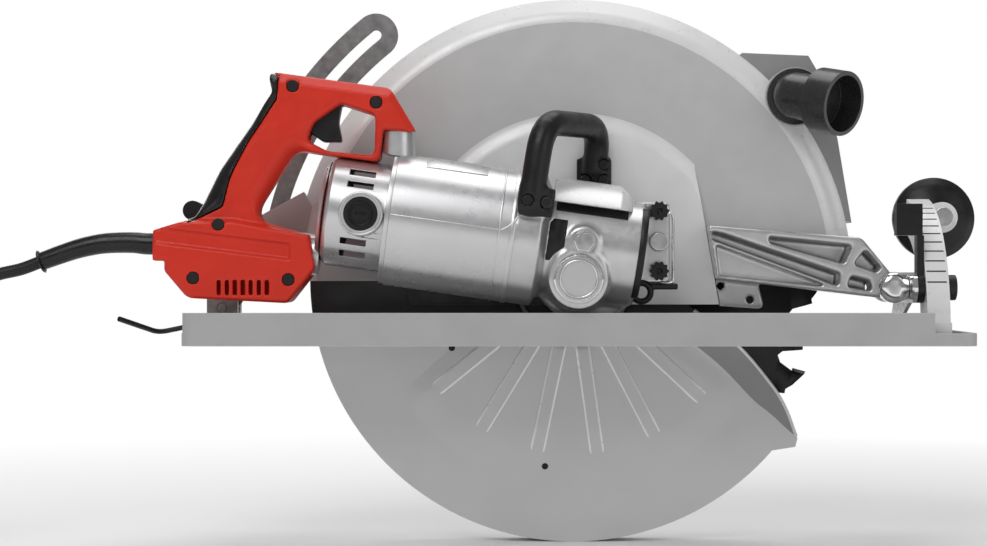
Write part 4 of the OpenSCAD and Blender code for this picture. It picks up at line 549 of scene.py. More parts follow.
GRIP_LOW, GRIP_HIGH, GRIP_FADE = 98, 190, 18
GRIP_FRONT, GRIP_FRONT_FADE = -205, 15
LEDGE_AT, LEDGE_FALL, LEDGE_H = (-308, 76.3), 0.124, 14.5
LEDGE_FRONT, LEDGE_FADE, LEDGE_SINK = -222, 2.5, 2.6
# Edges of the top bar that are bevelled: start, end and the bevel's depth
TOP_EDGES = (((-241, 214.2), (-145.9, 201), 7.5), ((-145.9, 201), (-125, 166), 5.0))
# Rooms for the motor's rear: drop under the axis, radius and rear end
MOTOR_ROOMS = ((0, 42.7, -206.5), (0, MOTOR_R + 0.2, -154.5), (36, 16.2, -224.5))
POST_X, POST_R, POST_TOP = -140.6, 14.2, 167.3


def handle_body(x, y, z):
    """The whole handle with its rounded grip, wide box, bevelled top bar and step lines."""
    px, pz = x[:, 0, :], z[:, 0, :]
    side = np.maximum(flat(HANDLE, px, pz), -flat(FINGER_GAP, px, pz))
    boxed = smooth(0.5 - flat(WIDE_BOX, px, pz) / BOX_FADE)
    grip = (smooth((pz - GRIP_LOW) / GRIP_FADE) * smooth((GRIP_HIGH - pz) / GRIP_FADE)
            * smooth((GRIP_FRONT - px) / GRIP_FRONT_FADE))
    ledge = pz - (LEDGE_AT[1] - LEDGE_FALL * (px - LEDGE_AT[0]))
    band = (smooth(ledge / LEDGE_FADE) * smooth((LEDGE_H - ledge) / LEDGE_FADE)
            * smooth((LEDGE_FRONT - px) / LEDGE_FADE))
    half = (GRIP_HALF + BOX_MORE * boxed - LEDGE_SINK * band * boxed)[:, None, :]
    f = rounded(side[:, None, :], np.abs(y) - half, (EDGE_R + GRIP_R_MORE * grip)[:, None, :])
    for (ax, az), (bx, bz), bevel in TOP_EDGES:
        above = ((z - az) * (bx - ax) - (x - ax) * (bz - az)) / math.hypot(bx - ax, bz - az)
        f = np.maximum(f, (np.abs(y) - GRIP_HALF + above + bevel) / math.sqrt(2))
    along, up = motor(x, z)
    for drop, r, rear in MOTOR_ROOMS:
        f = cut(f, np.maximum(np.hypot(y, up + drop) - r, rear - along))
    return cut(f, np.maximum(np.hypot(x - POST_X, y) - POST_R, z - POST_TOP))


# Screw places as shares, with the half width of the handle there
BOX_HALF = GRIP_HALF + BOX_MORE
SCREW_SHARES = ((0.528, 0.925, GRIP_HALF), (0.845, 0.855, GRIP_HALF), (0.25, 0.335, BOX_HALF),
                (0.155, 0.107, BOX_HALF), (0.515, 0.1, BOX_HALF))
SCREWS = [(HANDLE_AT[0] + a * HANDLE_SIZE[0], HANDLE_AT[1] + b * HANDLE_SIZE[1], half)
          for a, b, half in SCREW_SHARES]
SCREW_R, SCREW_SINK = 4.9, 3.7
PAD_GAP, PAD_OVER, PAD_PROUD, SPLIT_GAP = 0.3, 0.2, 0.5, 0.1
TRIGGER_GAP, TRIGGER_HALF, TRIGGER_PULLS = 0.7, 9.2, (0, -3.5, -7.6)
VENTS, VENT_STEP = 7, 6.2
VENT_LOW, VENT_HIGH, VENT_EDGE = np.array([-279.8, 14, 39.4]), np.array([-276.6, 30, 51.4]), 0.4
HANDLE_BOX = ((-331, -27, 32), (-124, 27, 217))
GRIP_BOX = ((-316, -20, 90), (-228, 20, 216))


def red_shell(side):
    """The field of one half of the red handle, on side -1 or 1."""
    def field(x, y, z):
        f = cut(handle_body(x, y, z), prism(PAD, x, z) - PAD_GAP)
        room = np.minimum.reduce([prism(TRIGGER + (pull, 0), x, z) for pull in TRIGGER_PULLS]) - TRIGGER_GAP
        f = cut(f, np.maximum(room, np.abs(y) - TRIGGER_HALF))
        if side < 0:
            for sx, sz, half in SCREWS:
                f = cut(f, np.maximum(np.hypot(x - sx, z - sz) - SCREW_R, y + half - SCREW_SINK))
        for i in range(VENTS):
            shift = (VENT_STEP * i, 0, 0)
            f = cut(f, block(x, np.abs(y), z, VENT_LOW + shift, VENT_HIGH + shift, VENT_EDGE))
        return np.maximum(f, -side * y + SPLIT_GAP)
    return field


def grip_field(x, y, z):
    """The rubber pad over the grip's rear."""
    return np.maximum(handle_body(x, y, z) - PAD_PROUD, prism(PAD, x, z) + PAD_OVER)


for side, half_name in ((-1, "near"), (1, "far")):
    low, high = [list(corner) for corner in HANDLE_BOX]
    (high if side < 0 else low)[1] = 0
    piece(f"handle_shell_{half_name}", *skin(red_shell(side), low, high, step=1.3), "head", "red_plastic",
          [f"handle_{half_name}"], SKIN_SHARP)
piece("rubber_grip", *skin(grip_field, *GRIP_BOX, step=1.2), "head", "black_rubber", ["grip_pad"], SKIN_SHARP)

# Carry handle
BAR = [np.array(p, float) for p in ((-37, -53, 110), (-27, -49, 172), (20, 40, 174), (16, 45, 140))]
BAR_R, BAR_BEND = 10, 24
# Low and high corners: the near pad in the motor's frame, the far pad in the part's
NEAR_PAD, FAR_PAD = ((-53, -56.5, 17), (-27, -49.5, 39)), ((2, 46, 124), (30, 53, 149))
PAD_FILLET = 5
NEAR_SCREW_SHARES, FAR_SCREW_SHARES = (0.22, 0.78), ((0.24, 0.3), (0.76, 0.3), (0.76, 0.8))
PAD_HOLE_R, PAD_HOLE_DEEP = 4.6, 0.1
SEAT_TOP, SEAT_REAR = NEAR_PAD[1][2] + 0.3, -75
CARRY_BOX = ((-58, -64, 92), (36, 54, 186))


def bent(a, b, c, reach):
    """A rounded turn at b between a and c."""
    p, q = b + (a - b) / np.linalg.norm(a - b) * reach, b + (c - b) / np.linalg.norm(c - b) * reach
    return [(1 - t) ** 2 * p + 2 * t * (1 - t) * b + t * t * q for t in np.linspace(0, 1, 9)]


BAR_LINE = [BAR[0], *bent(*BAR[:3], BAR_BEND), *bent(*BAR[1:], BAR_BEND), BAR[3]]


def carry_field(x, y, z):
    """The arched bar with its two screwed pads, clear of the gear case."""
    along, up = motor(x, z)
    f = chain(x, y, z, BAR_LINE, BAR_R)
    f = join(f, block(along, y, up, *NEAR_PAD), PAD_FILLET)
    f = join(f, block(x, y, z, *FAR_PAD), PAD_FILLET)
    (a0, y0, u0), (a1, y1, u1) = NEAR_PAD
    f = np.maximum(f, -np.maximum(np.maximum(y1 - y, y), np.maximum(up - SEAT_TOP, SEAT_REAR - along)))
    f = np.maximum(f, y - CASE_FAR)
    for share in NEAR_SCREW_SHARES:
        hole = np.hypot(along - a0 - (a1 - a0) * share, up - (u0 + u1) / 2) - PAD_HOLE_R
        f = cut(f, np.maximum(hole, y - y0 - PAD_HOLE_DEEP))
    (x0, near, z0), (x1, _, z1) = FAR_PAD
    for a, b in FAR_SCREW_SHARES:
        hole = np.hypot(x - x0 - (x1 - x0) * a, z - z0 - (z1 - z0) * b) - PAD_HOLE_R
        f = cut(f, np.maximum(hole, y - near))
    return f


piece("carry_bar", *skin(carry_field, *CARRY_BOX, step=1.4), "head", "black_plastic", ["carry_handle"],
      SKIN_SHARP)

# Gear case casting
FLANGE_REAR, NOSE = -54.8, 48
PAST_AXIS = -9
CASE_PROFILE = [(FLANGE_REAR, PAST_AXIS), (FLANGE_REAR, MOTOR_R), (-34, MOTOR_R), (-28, BARREL_R),
                (44, BARREL_R), (NOSE, 35), (NOSE, PAST_AXIS)]
ARBOR_BOSS = dict(at=(0, ARBOR_Z), r=23, low=-41, high=0)
FAR_DRUM = dict(at=(8, 60), r=43, low=0, high=CASE_FAR)
PLUG_BOSS = dict(at=(0, 2.5), r=12, low=-41, high=0)
LOCK_HOLE = dict(at=(64, 81), r=5.2, low=-12, high=4, edge=HOLE_EDGE)
FRONT_PLATE_AT, FRONT_PLATE_SIZE = (0, 2), (50, 50)
FRONT_PLATE = filleted([[0.7, 0.92, 0], [0.7, 2.2, 0.1], [1.46, 2.2, 0.1], [1.46, 0.92, 0.1]],
                       FRONT_PLATE_AT, FRONT_PLATE_SIZE)
FRONT_PLATE_NEAR, FRONT_PLATE_EDGE = -7, 1.5
PAD_SEAT = ((NEAR_PAD[0][0], NEAR_PAD[1][1], NEAR_PAD[0][2]), (NEAR_PAD[1][0], 0, NEAR_PAD[1][2]))
BOSS_FILLET, SEAT_FILLET, PLATE_FILLET = 6, 4, 3
# Hollows: from, to and radius, along the motor and across it
BORES_ALONG = ((-42, 40, 13.4), (-56, -41, 48), (-42, -31, 16), (32, 40, 13))
BORES_ACROSS = ((-9, 9, 21.8), (-42, -6, 16), (0, 54, 13), (41, 54, 23.5))
GEAR_BOX = ((-62, -58, 20), (78, 54, 142))


def gear_field(x, y, z):
    """The cast gear case: flange, barrel, bosses and front plate run together with fillets."""
    along, up = motor(x, z)
    across = np.hypot(y, up)
    f = turned(along, across, CASE_PROFILE)
    f = join(f, rod(x, y, z, **ARBOR_BOSS), BOSS_FILLET)
    f = join(f, rod(x, y, z, **FAR_DRUM), BOSS_FILLET)
    f = join(f, plate(FRONT_PLATE, x, y, z, FRONT_PLATE_NEAR, 0, FRONT_PLATE_EDGE), PLATE_FILLET)
    f = join(f, block(along, y, up, *PAD_SEAT), SEAT_FILLET)
    f = join(f, rod(along, y, up, **PLUG_BOSS), SEAT_FILLET)
    f = np.maximum(np.maximum(f, y - CASE_FAR), FLANGE_REAR - along)
    for low, high, r in BORES_ALONG:
        f = cut(f, np.maximum(across - r, slab(along, low, high)))
    for low, high, r in BORES_ACROSS:
        f = cut(f, rod(x, y, z, (0, ARBOR_Z), r, low, high, HOLE_EDGE))
    return cut(f, rod(x, y, z, **LOCK_HOLE))


piece("gear_casting", *skin(gear_field, *GEAR_BOX, step=1.4), "head", "bright_alloy", ["gear_case"],
      SKIN_SHARP)

# Front arm casting
ARM_AT, ARM_SIZE = (104.1, 45.0), (148.7, 50.0)


def on_arm(corners):
    """An outline whose corners are shares of the arm's length and height."""
    return filleted(corners, ARM_AT, ARM_SIZE)


ARM = on_arm([[0, 0.16, 0.08], [0, 1, 0.08], [0.84, 0.8, 0.2], [0.995, 0.24, 0], [1, -0.185, 0],
              [0.95, -0.17, 0.1]])
POCKET_ROUND_SHARE = 0.05
POCKET_SHARES = (((0.03, 0.9), (0.095, 0.86), (0.725, 0.22), (0.715, 0.02), (0.04, 0.76)),
                 ((0.34, 0.81), (0.79, 0.67), (0.745, 0.38), (0.35, 0.71)),
                 ((0.86, 0.6), (0.945, 0.33), (0.92, 0.24), (0.8, 0.37)),
                 ((0.785, 0.18), (0.88, 0.11), (0.9, -0.06), (0.765, 0.01)))
POCKETS = [on_arm([[a, b, POCKET_ROUND_SHARE] for a, b in corners]) for corners in POCKET_SHARES]
RECESS = on_arm([[0.056, 0.69, 0.04], [0.683, 0, 0.04], [0.078, 0.186, 0.04]])
EAR = on_arm([[0.02, 0.2, 0.05], [0.3, 0.14, 0.05], [0.34, -0.36, 0.1], [0.06, -0.3, 0.1]])
EAR_HOLE_SHARES, EAR_HOLE_R = ((0.1, 0.02), (0.26, -0.2)), 3
ARM_NEAR, RECESS_FLOOR, KNUCKLE_NEAR, WEB_NEAR, ARM_FAR = 28, 38, 52, 54, 60
BEFORE_ARM, BEHIND_ARM, EAR_HOLE_FROM = 20, 62, 50
ARM_EDGE, POCKET_EDGE, EAR_EDGE, PIVOT_FILLET = 2, 2.5, 1.5, 3
PIVOT, PIVOT_R, PIVOT_HOLE_R, KNUCKLE_ROOM_R = (252.8, 45.0), 9.5, 5.1, 16.8
# The plane that the arm's rear end stops at, with a gap
GUARD_END_AT, GUARD_END_NORMAL, GUARD_END_GAP = (98.4, 141.2), (0.9854, 0.1705), 0.3
ARM_BOX = ((104, 27, 24), (264, 61, 97))


def arm_field(x, y, z):
    """The ribbed arm between guard and knuckle."""
    f = plate(ARM, x, y, z, ARM_NEAR, ARM_FAR, ARM_EDGE)
    for pocket in POCKETS:
        f = cut(f, plate(pocket, x, y, z, BEFORE_ARM, WEB_NEAR, POCKET_EDGE), POCKET_EDGE)
    f = cut(f, plate(RECESS, x, y, z, BEFORE_ARM, RECESS_FLOOR, ARM_EDGE), ARM_EDGE)
    f = join(f, rod(x, y, z, PIVOT, PIVOT_R, ARM_NEAR, KNUCKLE_NEAR), PIVOT_FILLET)
    f = join(f, plate(EAR, x, y, z, WEB_NEAR, ARM_FAR, EAR_EDGE), ARM_EDGE)
    for a, b in EAR_HOLE_SHARES:
        at = (ARM_AT[0] + a * ARM_SIZE[0], ARM_AT[1] + b * ARM_SIZE[1])
        f = cut(f, rod(x, y, z, at, EAR_HOLE_R, EAR_HOLE_FROM, BEHIND_ARM, HOLE_EDGE))
    f = cut(f, rod(x, y, z, PIVOT, PIVOT_HOLE_R, BEFORE_ARM, BEHIND_ARM, HOLE_EDGE))
    f = np.maximum(f, -np.maximum(np.hypot(x - PIVOT[0], z - PIVOT[1]) - KNUCKLE_ROOM_R, KNUCKLE_NEAR - y))
    past_guard = (x - GUARD_END_AT[0]) * GUARD_END_NORMAL[0] + (z - GUARD_END_AT[1]) * GUARD_END_NORMAL[1]
    return np.maximum(f, GUARD_END_GAP - past_guard)


piece("arm_casting", *skin(arm_field, *ARM_BOX, step=1.2), "head", "bright_alloy", ["front_arm"], SKIN_SHARP)

# Small forms on the gear case
STAR_X, STAR_ZS, STAR_SHARP = 64, (105, 58), 40
STAR_R, LOBE, LOBES = 7.0, 0.75, 10
STAR_Y, NECK_Y, STAR_HALF = -12.6, -6, 3.4
SOCKET_R, SOCKET_FLOOR, NECK_R = 2.2, -13.2, 4.2


def stars(x, y, z):
    """Two ten-lobed thumbscrews with a socket each."""
    f = np.full(x.shape, 1e3)
    for at in STAR_ZS:
        across, turn = np.hypot(x - STAR_X, z - at), np.arctan2(z - at, x - STAR_X)
        head = np.maximum(across - STAR_R - LOBE * np.cos(LOBES * turn), np.abs(y - STAR_Y) - STAR_HALF)
        head = cut(head, np.maximum(across - SOCKET_R, y - SOCKET_FLOOR))
        f = np.minimum(f, np.minimum(head, np.maximum(across - NECK_R, np.abs(y - NECK_Y) - STAR_HALF)))
    return f


piece("thumb_stars", *skin(stars, (55, -17, 49), (73, -2, 114), step=0.55), "head", "black_plastic",
      ["thumbscrews"], STAR_SHARP)
LATCH_WIRE = curve_through([(66, -7.5, 103), (71, -9, 103), (75, -9, 101), (75, -9, 77), (75, -9, 53),
                            (73, -9, 49), (66, -7.5, 49)], steps=6)
piece("latch_wire", *wire(LATCH_WIRE, 1.1), "head", "chrome")
LATCH_AT, LATCH_R, LATCH_THICK, LATCH_FLAT = (50.4, -9, 41.5), 7.2, 2.5, 1.6
LATCH_BAR = ((56, -11, 43.5), (79, -6, 48.5))


def latch(x, y, z):
    """A flattened ring and the bar beside it."""
    across = np.hypot(x - LATCH_AT[0], z - LATCH_AT[2]) - LATCH_R
    ring = np.hypot(across, (y - LATCH_AT[1]) / LATCH_FLAT) - LATCH_THICK
    return np.minimum(ring, block(x, y, z, *LATCH_BAR))


piece("latch_ring", *skin(latch, (40, -15, 31), (80, -4, 52), step=0.8), "head", "black_plastic")
CAP_RING_Y, CAP_RING_R, CAP_RING_THICK = -46.1, 14.2, 0.7
piece("oil_cap_ring", *wire(circle(0, CAP_RING_Y, ARBOR_Z, CAP_RING_R), CAP_RING_THICK), "head", "chrome")

# Front knuckle and bevel scale
DOME = dict(at=PIVOT, r=12.3, low=9.5, high=27.6, edge=6)
NECK_AT_Y, NECK_AT_R, NECK_FROM, NECK_TO, CREASE = 20, 11.2, 257, 263.7, 1.2


def dome(x, y, z):
    """The rounded near end of the knuckle with a crease before its plate."""
    neck = np.maximum(np.hypot(y - NECK_AT_Y, z - PIVOT[1]) - NECK_AT_R, NECK_FROM - x)
    return np.maximum(join(rod(x, y, z, **DOME), neck, CREASE), x - NECK_TO)


piece("knuckle_dome", *skin(dome, (240, 9, 32), (264, 32, 58), step=0.7), "bevel_frame", "chrome")
MARKS, FIRST_MARK, MARK_STEP, MARK_HALF = 10, 20, 5, 0.28
MARK_R, MARK_X, BEVEL_Z = (104.6, 105.2), (274, 289), 13.5
BRICK_FACES = [[0, 1, 3, 2], [4, 6, 7, 5], [0, 4, 5, 1], [2, 3, 7, 6], [0, 2, 6, 4], [1, 5, 7, 3]]


def scale_mark(degrees):
    """The eight corners of a thin mark on the quadrant's rim."""
    angles = [math.radians(degrees + side) for side in (-MARK_HALF, MARK_HALF)]
    return [(x, ARBOR_Y - r * math.cos(a), BEVEL_Z + r * math.sin(a))
            for r in MARK_R for x in MARK_X for a in angles]


for i in range(MARKS):
    piece(f"scale_mark_{i}", scale_mark(FIRST_MARK + MARK_STEP * i), BRICK_FACES, "foot", "cast_grey",
          look="scale_black")


# Lines, rings and plates on the motor housing
def on_motor(along, angle, r):
    """A point on a cylinder about the motor's axis, the angle counted from the top to the near side."""
    up = r * math.cos(math.radians(angle)) + WORM_UP
    return (along * math.cos(TILT) + up * math.sin(TILT), -r * math.sin(math.radians(angle)),
            ARBOR_Z - along * math.sin(TILT) + up * math.cos(TILT))


WRAP_CHAMFER_H, WRAP_CHAMFER_W = 0.25, 0.3


def wrap(along, angles, r, steps=24):
    """A curved plate about the motor's axis, between two radii, with a chamfered rim."""
    rings = []
    for inset, radius in ((0, r[0]), (0, r[1] - WRAP_CHAMFER_H), (WRAP_CHAMFER_W, r[1])):
        low, high = along[0] + inset, along[1] - inset
        a0, a1 = (a + s * math.degrees(inset / r[1]) for a, s in zip(angles, (1, -1)))
        shares = np.linspace(0, 1, steps + 1)
        rings.append([on_motor(low, a0 + (a1 - a0) * t, radius) for t in shares]
                     + [on_motor(high, a1 + (a0 - a1) * t, radius) for t in shares])
    n = len(rings[0])
    top = [[2 * n + i, 2 * n + i + 1, 3 * n - 2 - i, 3 * n - 1 - i] for i in range(steps)]
    return [p for ring in rings for p in ring], grid(len(rings), n, closed=True) + top


UNDER_SKIN = MOTOR_R - 0.4
PLATE_TOP, LINE_TOP = MOTOR_R + 0.6, MOTOR_R + 0.7
# Raised lines: along, angles and steps
MOTOR_LINES = (((-150, -64), (86.4, 87.4), 4), ((-66.5, -65), (-179, 179), 96),
               ((-57.5, -53.6), (-179, 179), 96))
BRUSH_ALONG, BRUSH_RING_Y = -172, 55.1
BRUSH_RINGS = ((15.9, 0.9, "motor_silver"), (8.6, 0.55, "black_plastic"))
# Black strips of painted shadow on the gear case, under the fairing, in the recess by the flange and at the
# barrel's front end: along, angles and radii
SHADOW_STRIPS = {"fairing_shadow_strip": ((-24, 32), (35, 53), (39.4, 40.5)),
         "flange_shadow_strip": ((-27.6, -14), (64, 112), (39.4, 40.4)),
         "barrel_shadow_strip": ((43, 48.3), (30, 150), (34.5, 40.6))}
SEAM_PLACES, SEAM_R, SEAM_THICK = ((-64, 87), (-58, 82), (-52, 72), (-46, 58)), MOTOR_R + 0.1, 0.7

piece("name_plate", *wrap((-128, -80), (8, 34), (UNDER_SKIN, PLATE_TOP)), "head", "motor_silver")
for i, (along, angles, steps) in enumerate(MOTOR_LINES):
    piece(f"motor_line_{i}", *wrap(along, angles, (UNDER_SKIN, LINE_TOP), steps), "head", "motor_silver")
brush_x, _, brush_z = on_motor(BRUSH_ALONG, 90, 0)
for side, side_name in ((-1, "near"), (1, "far")):
    for i, (ring_r, thick, slot) in enumerate(BRUSH_RINGS):
        ring = circle(brush_x, side * BRUSH_RING_Y, brush_z, ring_r)
        piece(f"brush_ring_{side_name}_{i}", *wire(ring, thick), "head", slot)
# The black strips paint the shadow in the gear case's recesses
for name, form in SHADOW_STRIPS.items():
    piece(name, *wrap(*form), "head", "black_plastic")
seam_line = curve_through([on_motor(a, b, SEAM_R) for a, b in SEAM_PLACES], steps=6)
piece("motor_seam", *wire(seam_line, SEAM_THICK, sides=10), "head", "motor_silver")

# Lower guard: pressed fan with flutes, plugs, flared front edge and rolled rim
FAN_FIRST, FAN_LAST = math.radians(-138), math.radians(-42)
FAN_DEEP = 2.1
# Where the fan's three sides begin to fade and how far the fade goes
FAN_INNER, FAN_OUTER, FAN_BESIDE = (46, 6), (145, 34), (7, 22)
FAN_ROWS, FAN_R = 69, (46, 182)
FAN_COLS, FAN_ANGLES = 161, (-172, -12)
FAN_SUNK, FAN_SHOWN = 0.2, 0.1


def fade(value, start, reach):
    """A soft step that begins at start."""
    return smooth((value - start) / reach)


def swell(x, z):
    """How far the near face is pressed out under the flutes."""
    r, turn = math.hypot(x, z - ARBOR_Z), math.atan2(z - ARBOR_Z, x)
    beside = r * max(math.sin(turn - FAN_LAST), math.sin(FAN_FIRST - turn))
    return float(FAN_DEEP * fade(r, *FAN_INNER) * (1 - fade(r, *FAN_OUTER)) * (1 - fade(beside, *FAN_BESIDE)))


def fan():
    """The pressed fan, where it stands out of the near face."""
    points = []
    for r in np.linspace(*FAN_R, FAN_ROWS):
        for angle in np.radians(np.linspace(*FAN_ANGLES, FAN_COLS)):
            x, z = r * math.cos(angle), ARBOR_Z + r * math.sin(angle)
            points.append((x, GUARD_FACE + FAN_SUNK - swell(x, z), z))
    faces = [f for f in grid(FAN_ROWS, FAN_COLS, flip=True)
             if min(points[k][1] for k in f) < GUARD_FACE + FAN_SHOWN]
    used = sorted({k for f in faces for k in f})
    number = {k: i for i, k in enumerate(used)}
    return [points[k] for k in used], [[number[k] for k in f] for f in faces]


piece("guard_fan", *fan(), "lower_guard", "bright_alloy", look="guard_satin_and_shade")
FLUTES, FIRST_FLUTE, FLUTES_SPAN = 6, -141, 98
HALF_SECTION = [(-6.6, -0.1), (-5.9, 0.35), (-5.1, 1.2), (-4.5, 1.5), (-3.9, 1.45)]
SECTION = HALF_SECTION + [(-a, b) for a, b in reversed(HALF_SECTION)]
# Bands of each flute's section that get painted highlights
HIGHLIGHT_BANDS = (1, 2, 6, 7)
FLUTE_ROWS, FLUTE_R, FLUTE_SUNK = 40, (53, 147), 0.25
FLUTE_INNER, FLUTE_OUTER = (53, 5), (122, 25)


def flute(angle):
    """A pressed band on the near face that runs out at both ends."""
    points = []
    c, s = math.cos(math.radians(angle)), math.sin(math.radians(angle))
    for r in np.linspace(*FLUTE_R, FLUTE_ROWS):
        rise = float(fade(r, *FLUTE_INNER) * (1 - fade(r, *FLUTE_OUTER)))
        for u, h in SECTION:
            x, z = r * c - u * s, ARBOR_Z + r * s + u * c
            points.append((x, GUARD_FACE + FLUTE_SUNK - swell(x, z) - h * rise, z))
    return points, grid(FLUTE_ROWS, len(SECTION), flip=True)


for i in range(FLUTES):
    angle = FIRST_FLUTE + FLUTES_SPAN * i / (FLUTES - 1)
    pressed = piece(f"flute_{i}", *flute(angle), "lower_guard", "bright_alloy", look="guard_satin_and_shade")
    # The side bands of each flute take the painted highlight
    pressed.data.materials.append(LOOK["flute_painted_highlight"])
    for face in pressed.data.polygons:
        if face.index % (len(SECTION) - 1) in HIGHLIGHT_BANDS:
            face.material_index = 1

STUD_SIDES = 24
# Radius and height of a plug's rings, as shares of its own, above a foot inside the guard
STUD_SHARES = ((1, 0.4), (0.8, 0.8), (0.4, 1))
STUD_FOOT, STUD_TIP_R = 0.3, 0.01
STUDS = ((-99.5, -5, 2.6, 0.6, "scale_black"), (-23.1, -101.9, 2.6, 0.6, "scale_black"),
         (-22.7, -158.4, 3.2, 0.15, "guard_satin_and_shade"))


def stud(x, z, r, high):
    """A low round plug on the near face with a domed top."""
    rings = [(r, STUD_FOOT), *((a * r, -b * high) for a, b in STUD_SHARES), (STUD_TIP_R, -high)]
    base = GUARD_FACE - swell(x, z)
    points = [(x + a * math.cos(t), base + y, z + a * math.sin(t)) for a, y in rings
              for t in np.linspace(0, 2 * math.pi, STUD_SIDES, endpoint=False)]
    return points, grid(len(rings), STUD_SIDES, closed=True)


for i, (x, z, r, high, look) in enumerate(STUDS):
    piece(f"guard_stud_{i}", *stud(x, z, r, high), "lower_guard", "bright_alloy", look=look)

FRONT_SHARES = ((0.46, -0.12), (0.626, -0.255), (0.75, -0.4), (0.806, -0.49), (0.848, -0.6))
FRONT = curve_through([(a * LOWER_GUARD_R, b * LOWER_GUARD_R + ARBOR_Z) for a, b in FRONT_SHARES], steps=14)
FLARE_COLS, FLARE_W, FLARE_END_W = 7, 22, 0.2
FLARE_PROUD, FLARE_SLOPE = 0.4, 0.3
RIM_SUNK, RIM_R = 0.4, 1.4


def flare():
    """The facet behind the guard's front edge, which narrows towards the rim; its darker grey is painted
    shade.
    """
    ahead = np.gradient(FRONT, axis=0)
    ahead /= np.linalg.norm(ahead, axis=1)[:, None]
    inward = np.stack([ahead[:, 1], -ahead[:, 0]], 1)
    points = []
    for k, (p, q) in enumerate(zip(FRONT, inward)):
        wide = FLARE_W * (1 - (k / (len(FRONT) - 1)) ** 3) + FLARE_END_W
        for u in np.linspace(0, 1, FLARE_COLS):
            at = p + q * wide * u
            points.append((at[0], GUARD_FACE - FLARE_PROUD + FLARE_SLOPE * u, at[1]))
    return points, grid(len(FRONT), FLARE_COLS)


piece("front_flare", *flare(), "lower_guard", "bright_alloy", look="painted_shadow_grey")
rim_line = [(p[0], GUARD_FACE + RIM_SUNK, p[1]) for p in FRONT]
piece("flare_rim", *wire(rim_line, RIM_R), "lower_guard", "bright_alloy", look="guard_rim")

# Finishes and softened edges of the CAD nodes that stay
NODE_LOOKS = {"lower_guard": "guard_satin_and_shade", "depth_link": "link_grey", "gear_fairing": "fairing",
              "oil_cap": "cast_grey", "oil_plug": "chrome", "bevel_quadrant": "guard_rim",
              "knob_bolt": "chrome", "handle_screws": "scale_black", "dust_nozzle": "nozzle_black"}
EDGE_WIDTHS = {"foot": 0.8, "upper_guard": 0.9, "guard_cover": 0.9, "blade": 0, "blade_tips": 0,
               "lower_guard": 1.5, "front_knuckle": 3.0, "bevel_lever": 2.4, "gear_fairing": 2.0,
               "oil_plug": 1.0, "motor_housing": 1.0, "trigger": 1.5}
EDGE_WIDTH = 0.5
NODE_SHARP, BEVEL_ANGLE, FLAT_ANGLE = math.radians(35), math.radians(40), math.radians(0.1)
WELD = 0.00002


def soften(node, width):
    """Rounds a node's edges in the render; its mesh stays as it is."""
    weld = node.modifiers.new("weld", "WELD")
    weld.merge_threshold = WELD
    if not width:
        return
    merge = node.modifiers.new("merge", "DECIMATE")
    merge.decimate_type = "DISSOLVE"
    merge.angle_limit = FLAT_ANGLE
    merge.delimit = {"MATERIAL", "SHARP"}
    bevel = node.modifiers.new("bevel", "BEVEL")
    bevel.width = width * MM
    bevel.segments = 2
    bevel.limit_method = "ANGLE"
    bevel.angle_limit = BEVEL_ANGLE
    even = node.modifiers.new("even", "WEIGHTED_NORMAL")
    even.mode = "FACE_AREA"
    even.weight = 100
    even.keep_sharp = True


for part in frame["record"]["subparts"]:
    node = nodes[part["node"]]
    mesh = node.data
    mesh.materials.clear()
    mesh.materials.append(LOOK[NODE_LOOKS.get(part["node"], part["material_slot"])])
    if "custom_normal" in mesh.attributes:
        mesh.attributes.remove(mesh.attributes["custom_normal"])
    mesh.shade_smooth()
    mesh.set_sharp_from_angle(angle=NODE_SHARP)
    soften(node, EDGE_WIDTHS.get(part["node"], EDGE_WIDTH))

# Faces of CAD nodes with a finish of their own, and faces with painted shade, told by centre and normal, in
# metres
LEANING, FACING = -0.05, -0.97
RIM_LOW, CHUTE_X = 0.02, 0.1
PLATEAU_R, PLATEAU_BACK, CHUTE_FRONT = 0.14, 0.0599, 0.0605
MOTOR_PAD_NEAR, MOTOR_PAD_TOP, MOTOR_PAD_R = 0.005, 0.09, 0.0527
CAP_INNER_R = 0.0165


def from_arbor(c):
    """Distance from the arbor's axis."""
    return math.hypot(c[0], c[2] - ARBOR_Z * MM)


def on_rim(c, n):
    """The sloped rim of the upper guard."""
    return c[2] > RIM_LOW and FACING < n[1] < LEANING


def on_plateau(c, n):
    """The raised round plateau behind the gear case."""
    return n[1] < LEANING and c[1] < PLATEAU_BACK and from_arbor(c) < PLATEAU_R


def on_chute(c, n):
    """The near face of the dust chute, set back behind the rim; its darker grey is painted shade."""
    return n[1] < FACING and c[1] > CHUTE_FRONT and c[0] > CHUTE_X


def on_motor_pad(c, n):
    """The pad on the motor's far side, outside its round wall; it is made black as painted shade under the
    motor.
    """
    up = motor(c[0] / MM, c[2] / MM)[1] * MM
    return c[1] > MOTOR_PAD_NEAR and c[2] < MOTOR_PAD_TOP and math.hypot(c[1], up) > MOTOR_PAD_R


def on_cap_edge(c, n):
    """The outer part of the oil cap."""
    return from_arbor(c) > CAP_INNER_R


FACE_LOOKS = {"upper_guard": (("guard_rim", on_rim), ("plateau", on_plateau), ("painted_shadow_grey", on_chute)),
              "motor_housing": (("black_steel", on_motor_pad),), "oil_cap": (("chrome", on_cap_edge),)}
for name, looks in FACE_LOOKS.items():
    mesh = nodes[name].data
    for place, (look, chosen) in enumerate(looks, 1):
        mesh.materials.append(LOOK[look])
        for face in mesh.polygons:
            if chosen(face.center, face.normal):
                face.material_index = place

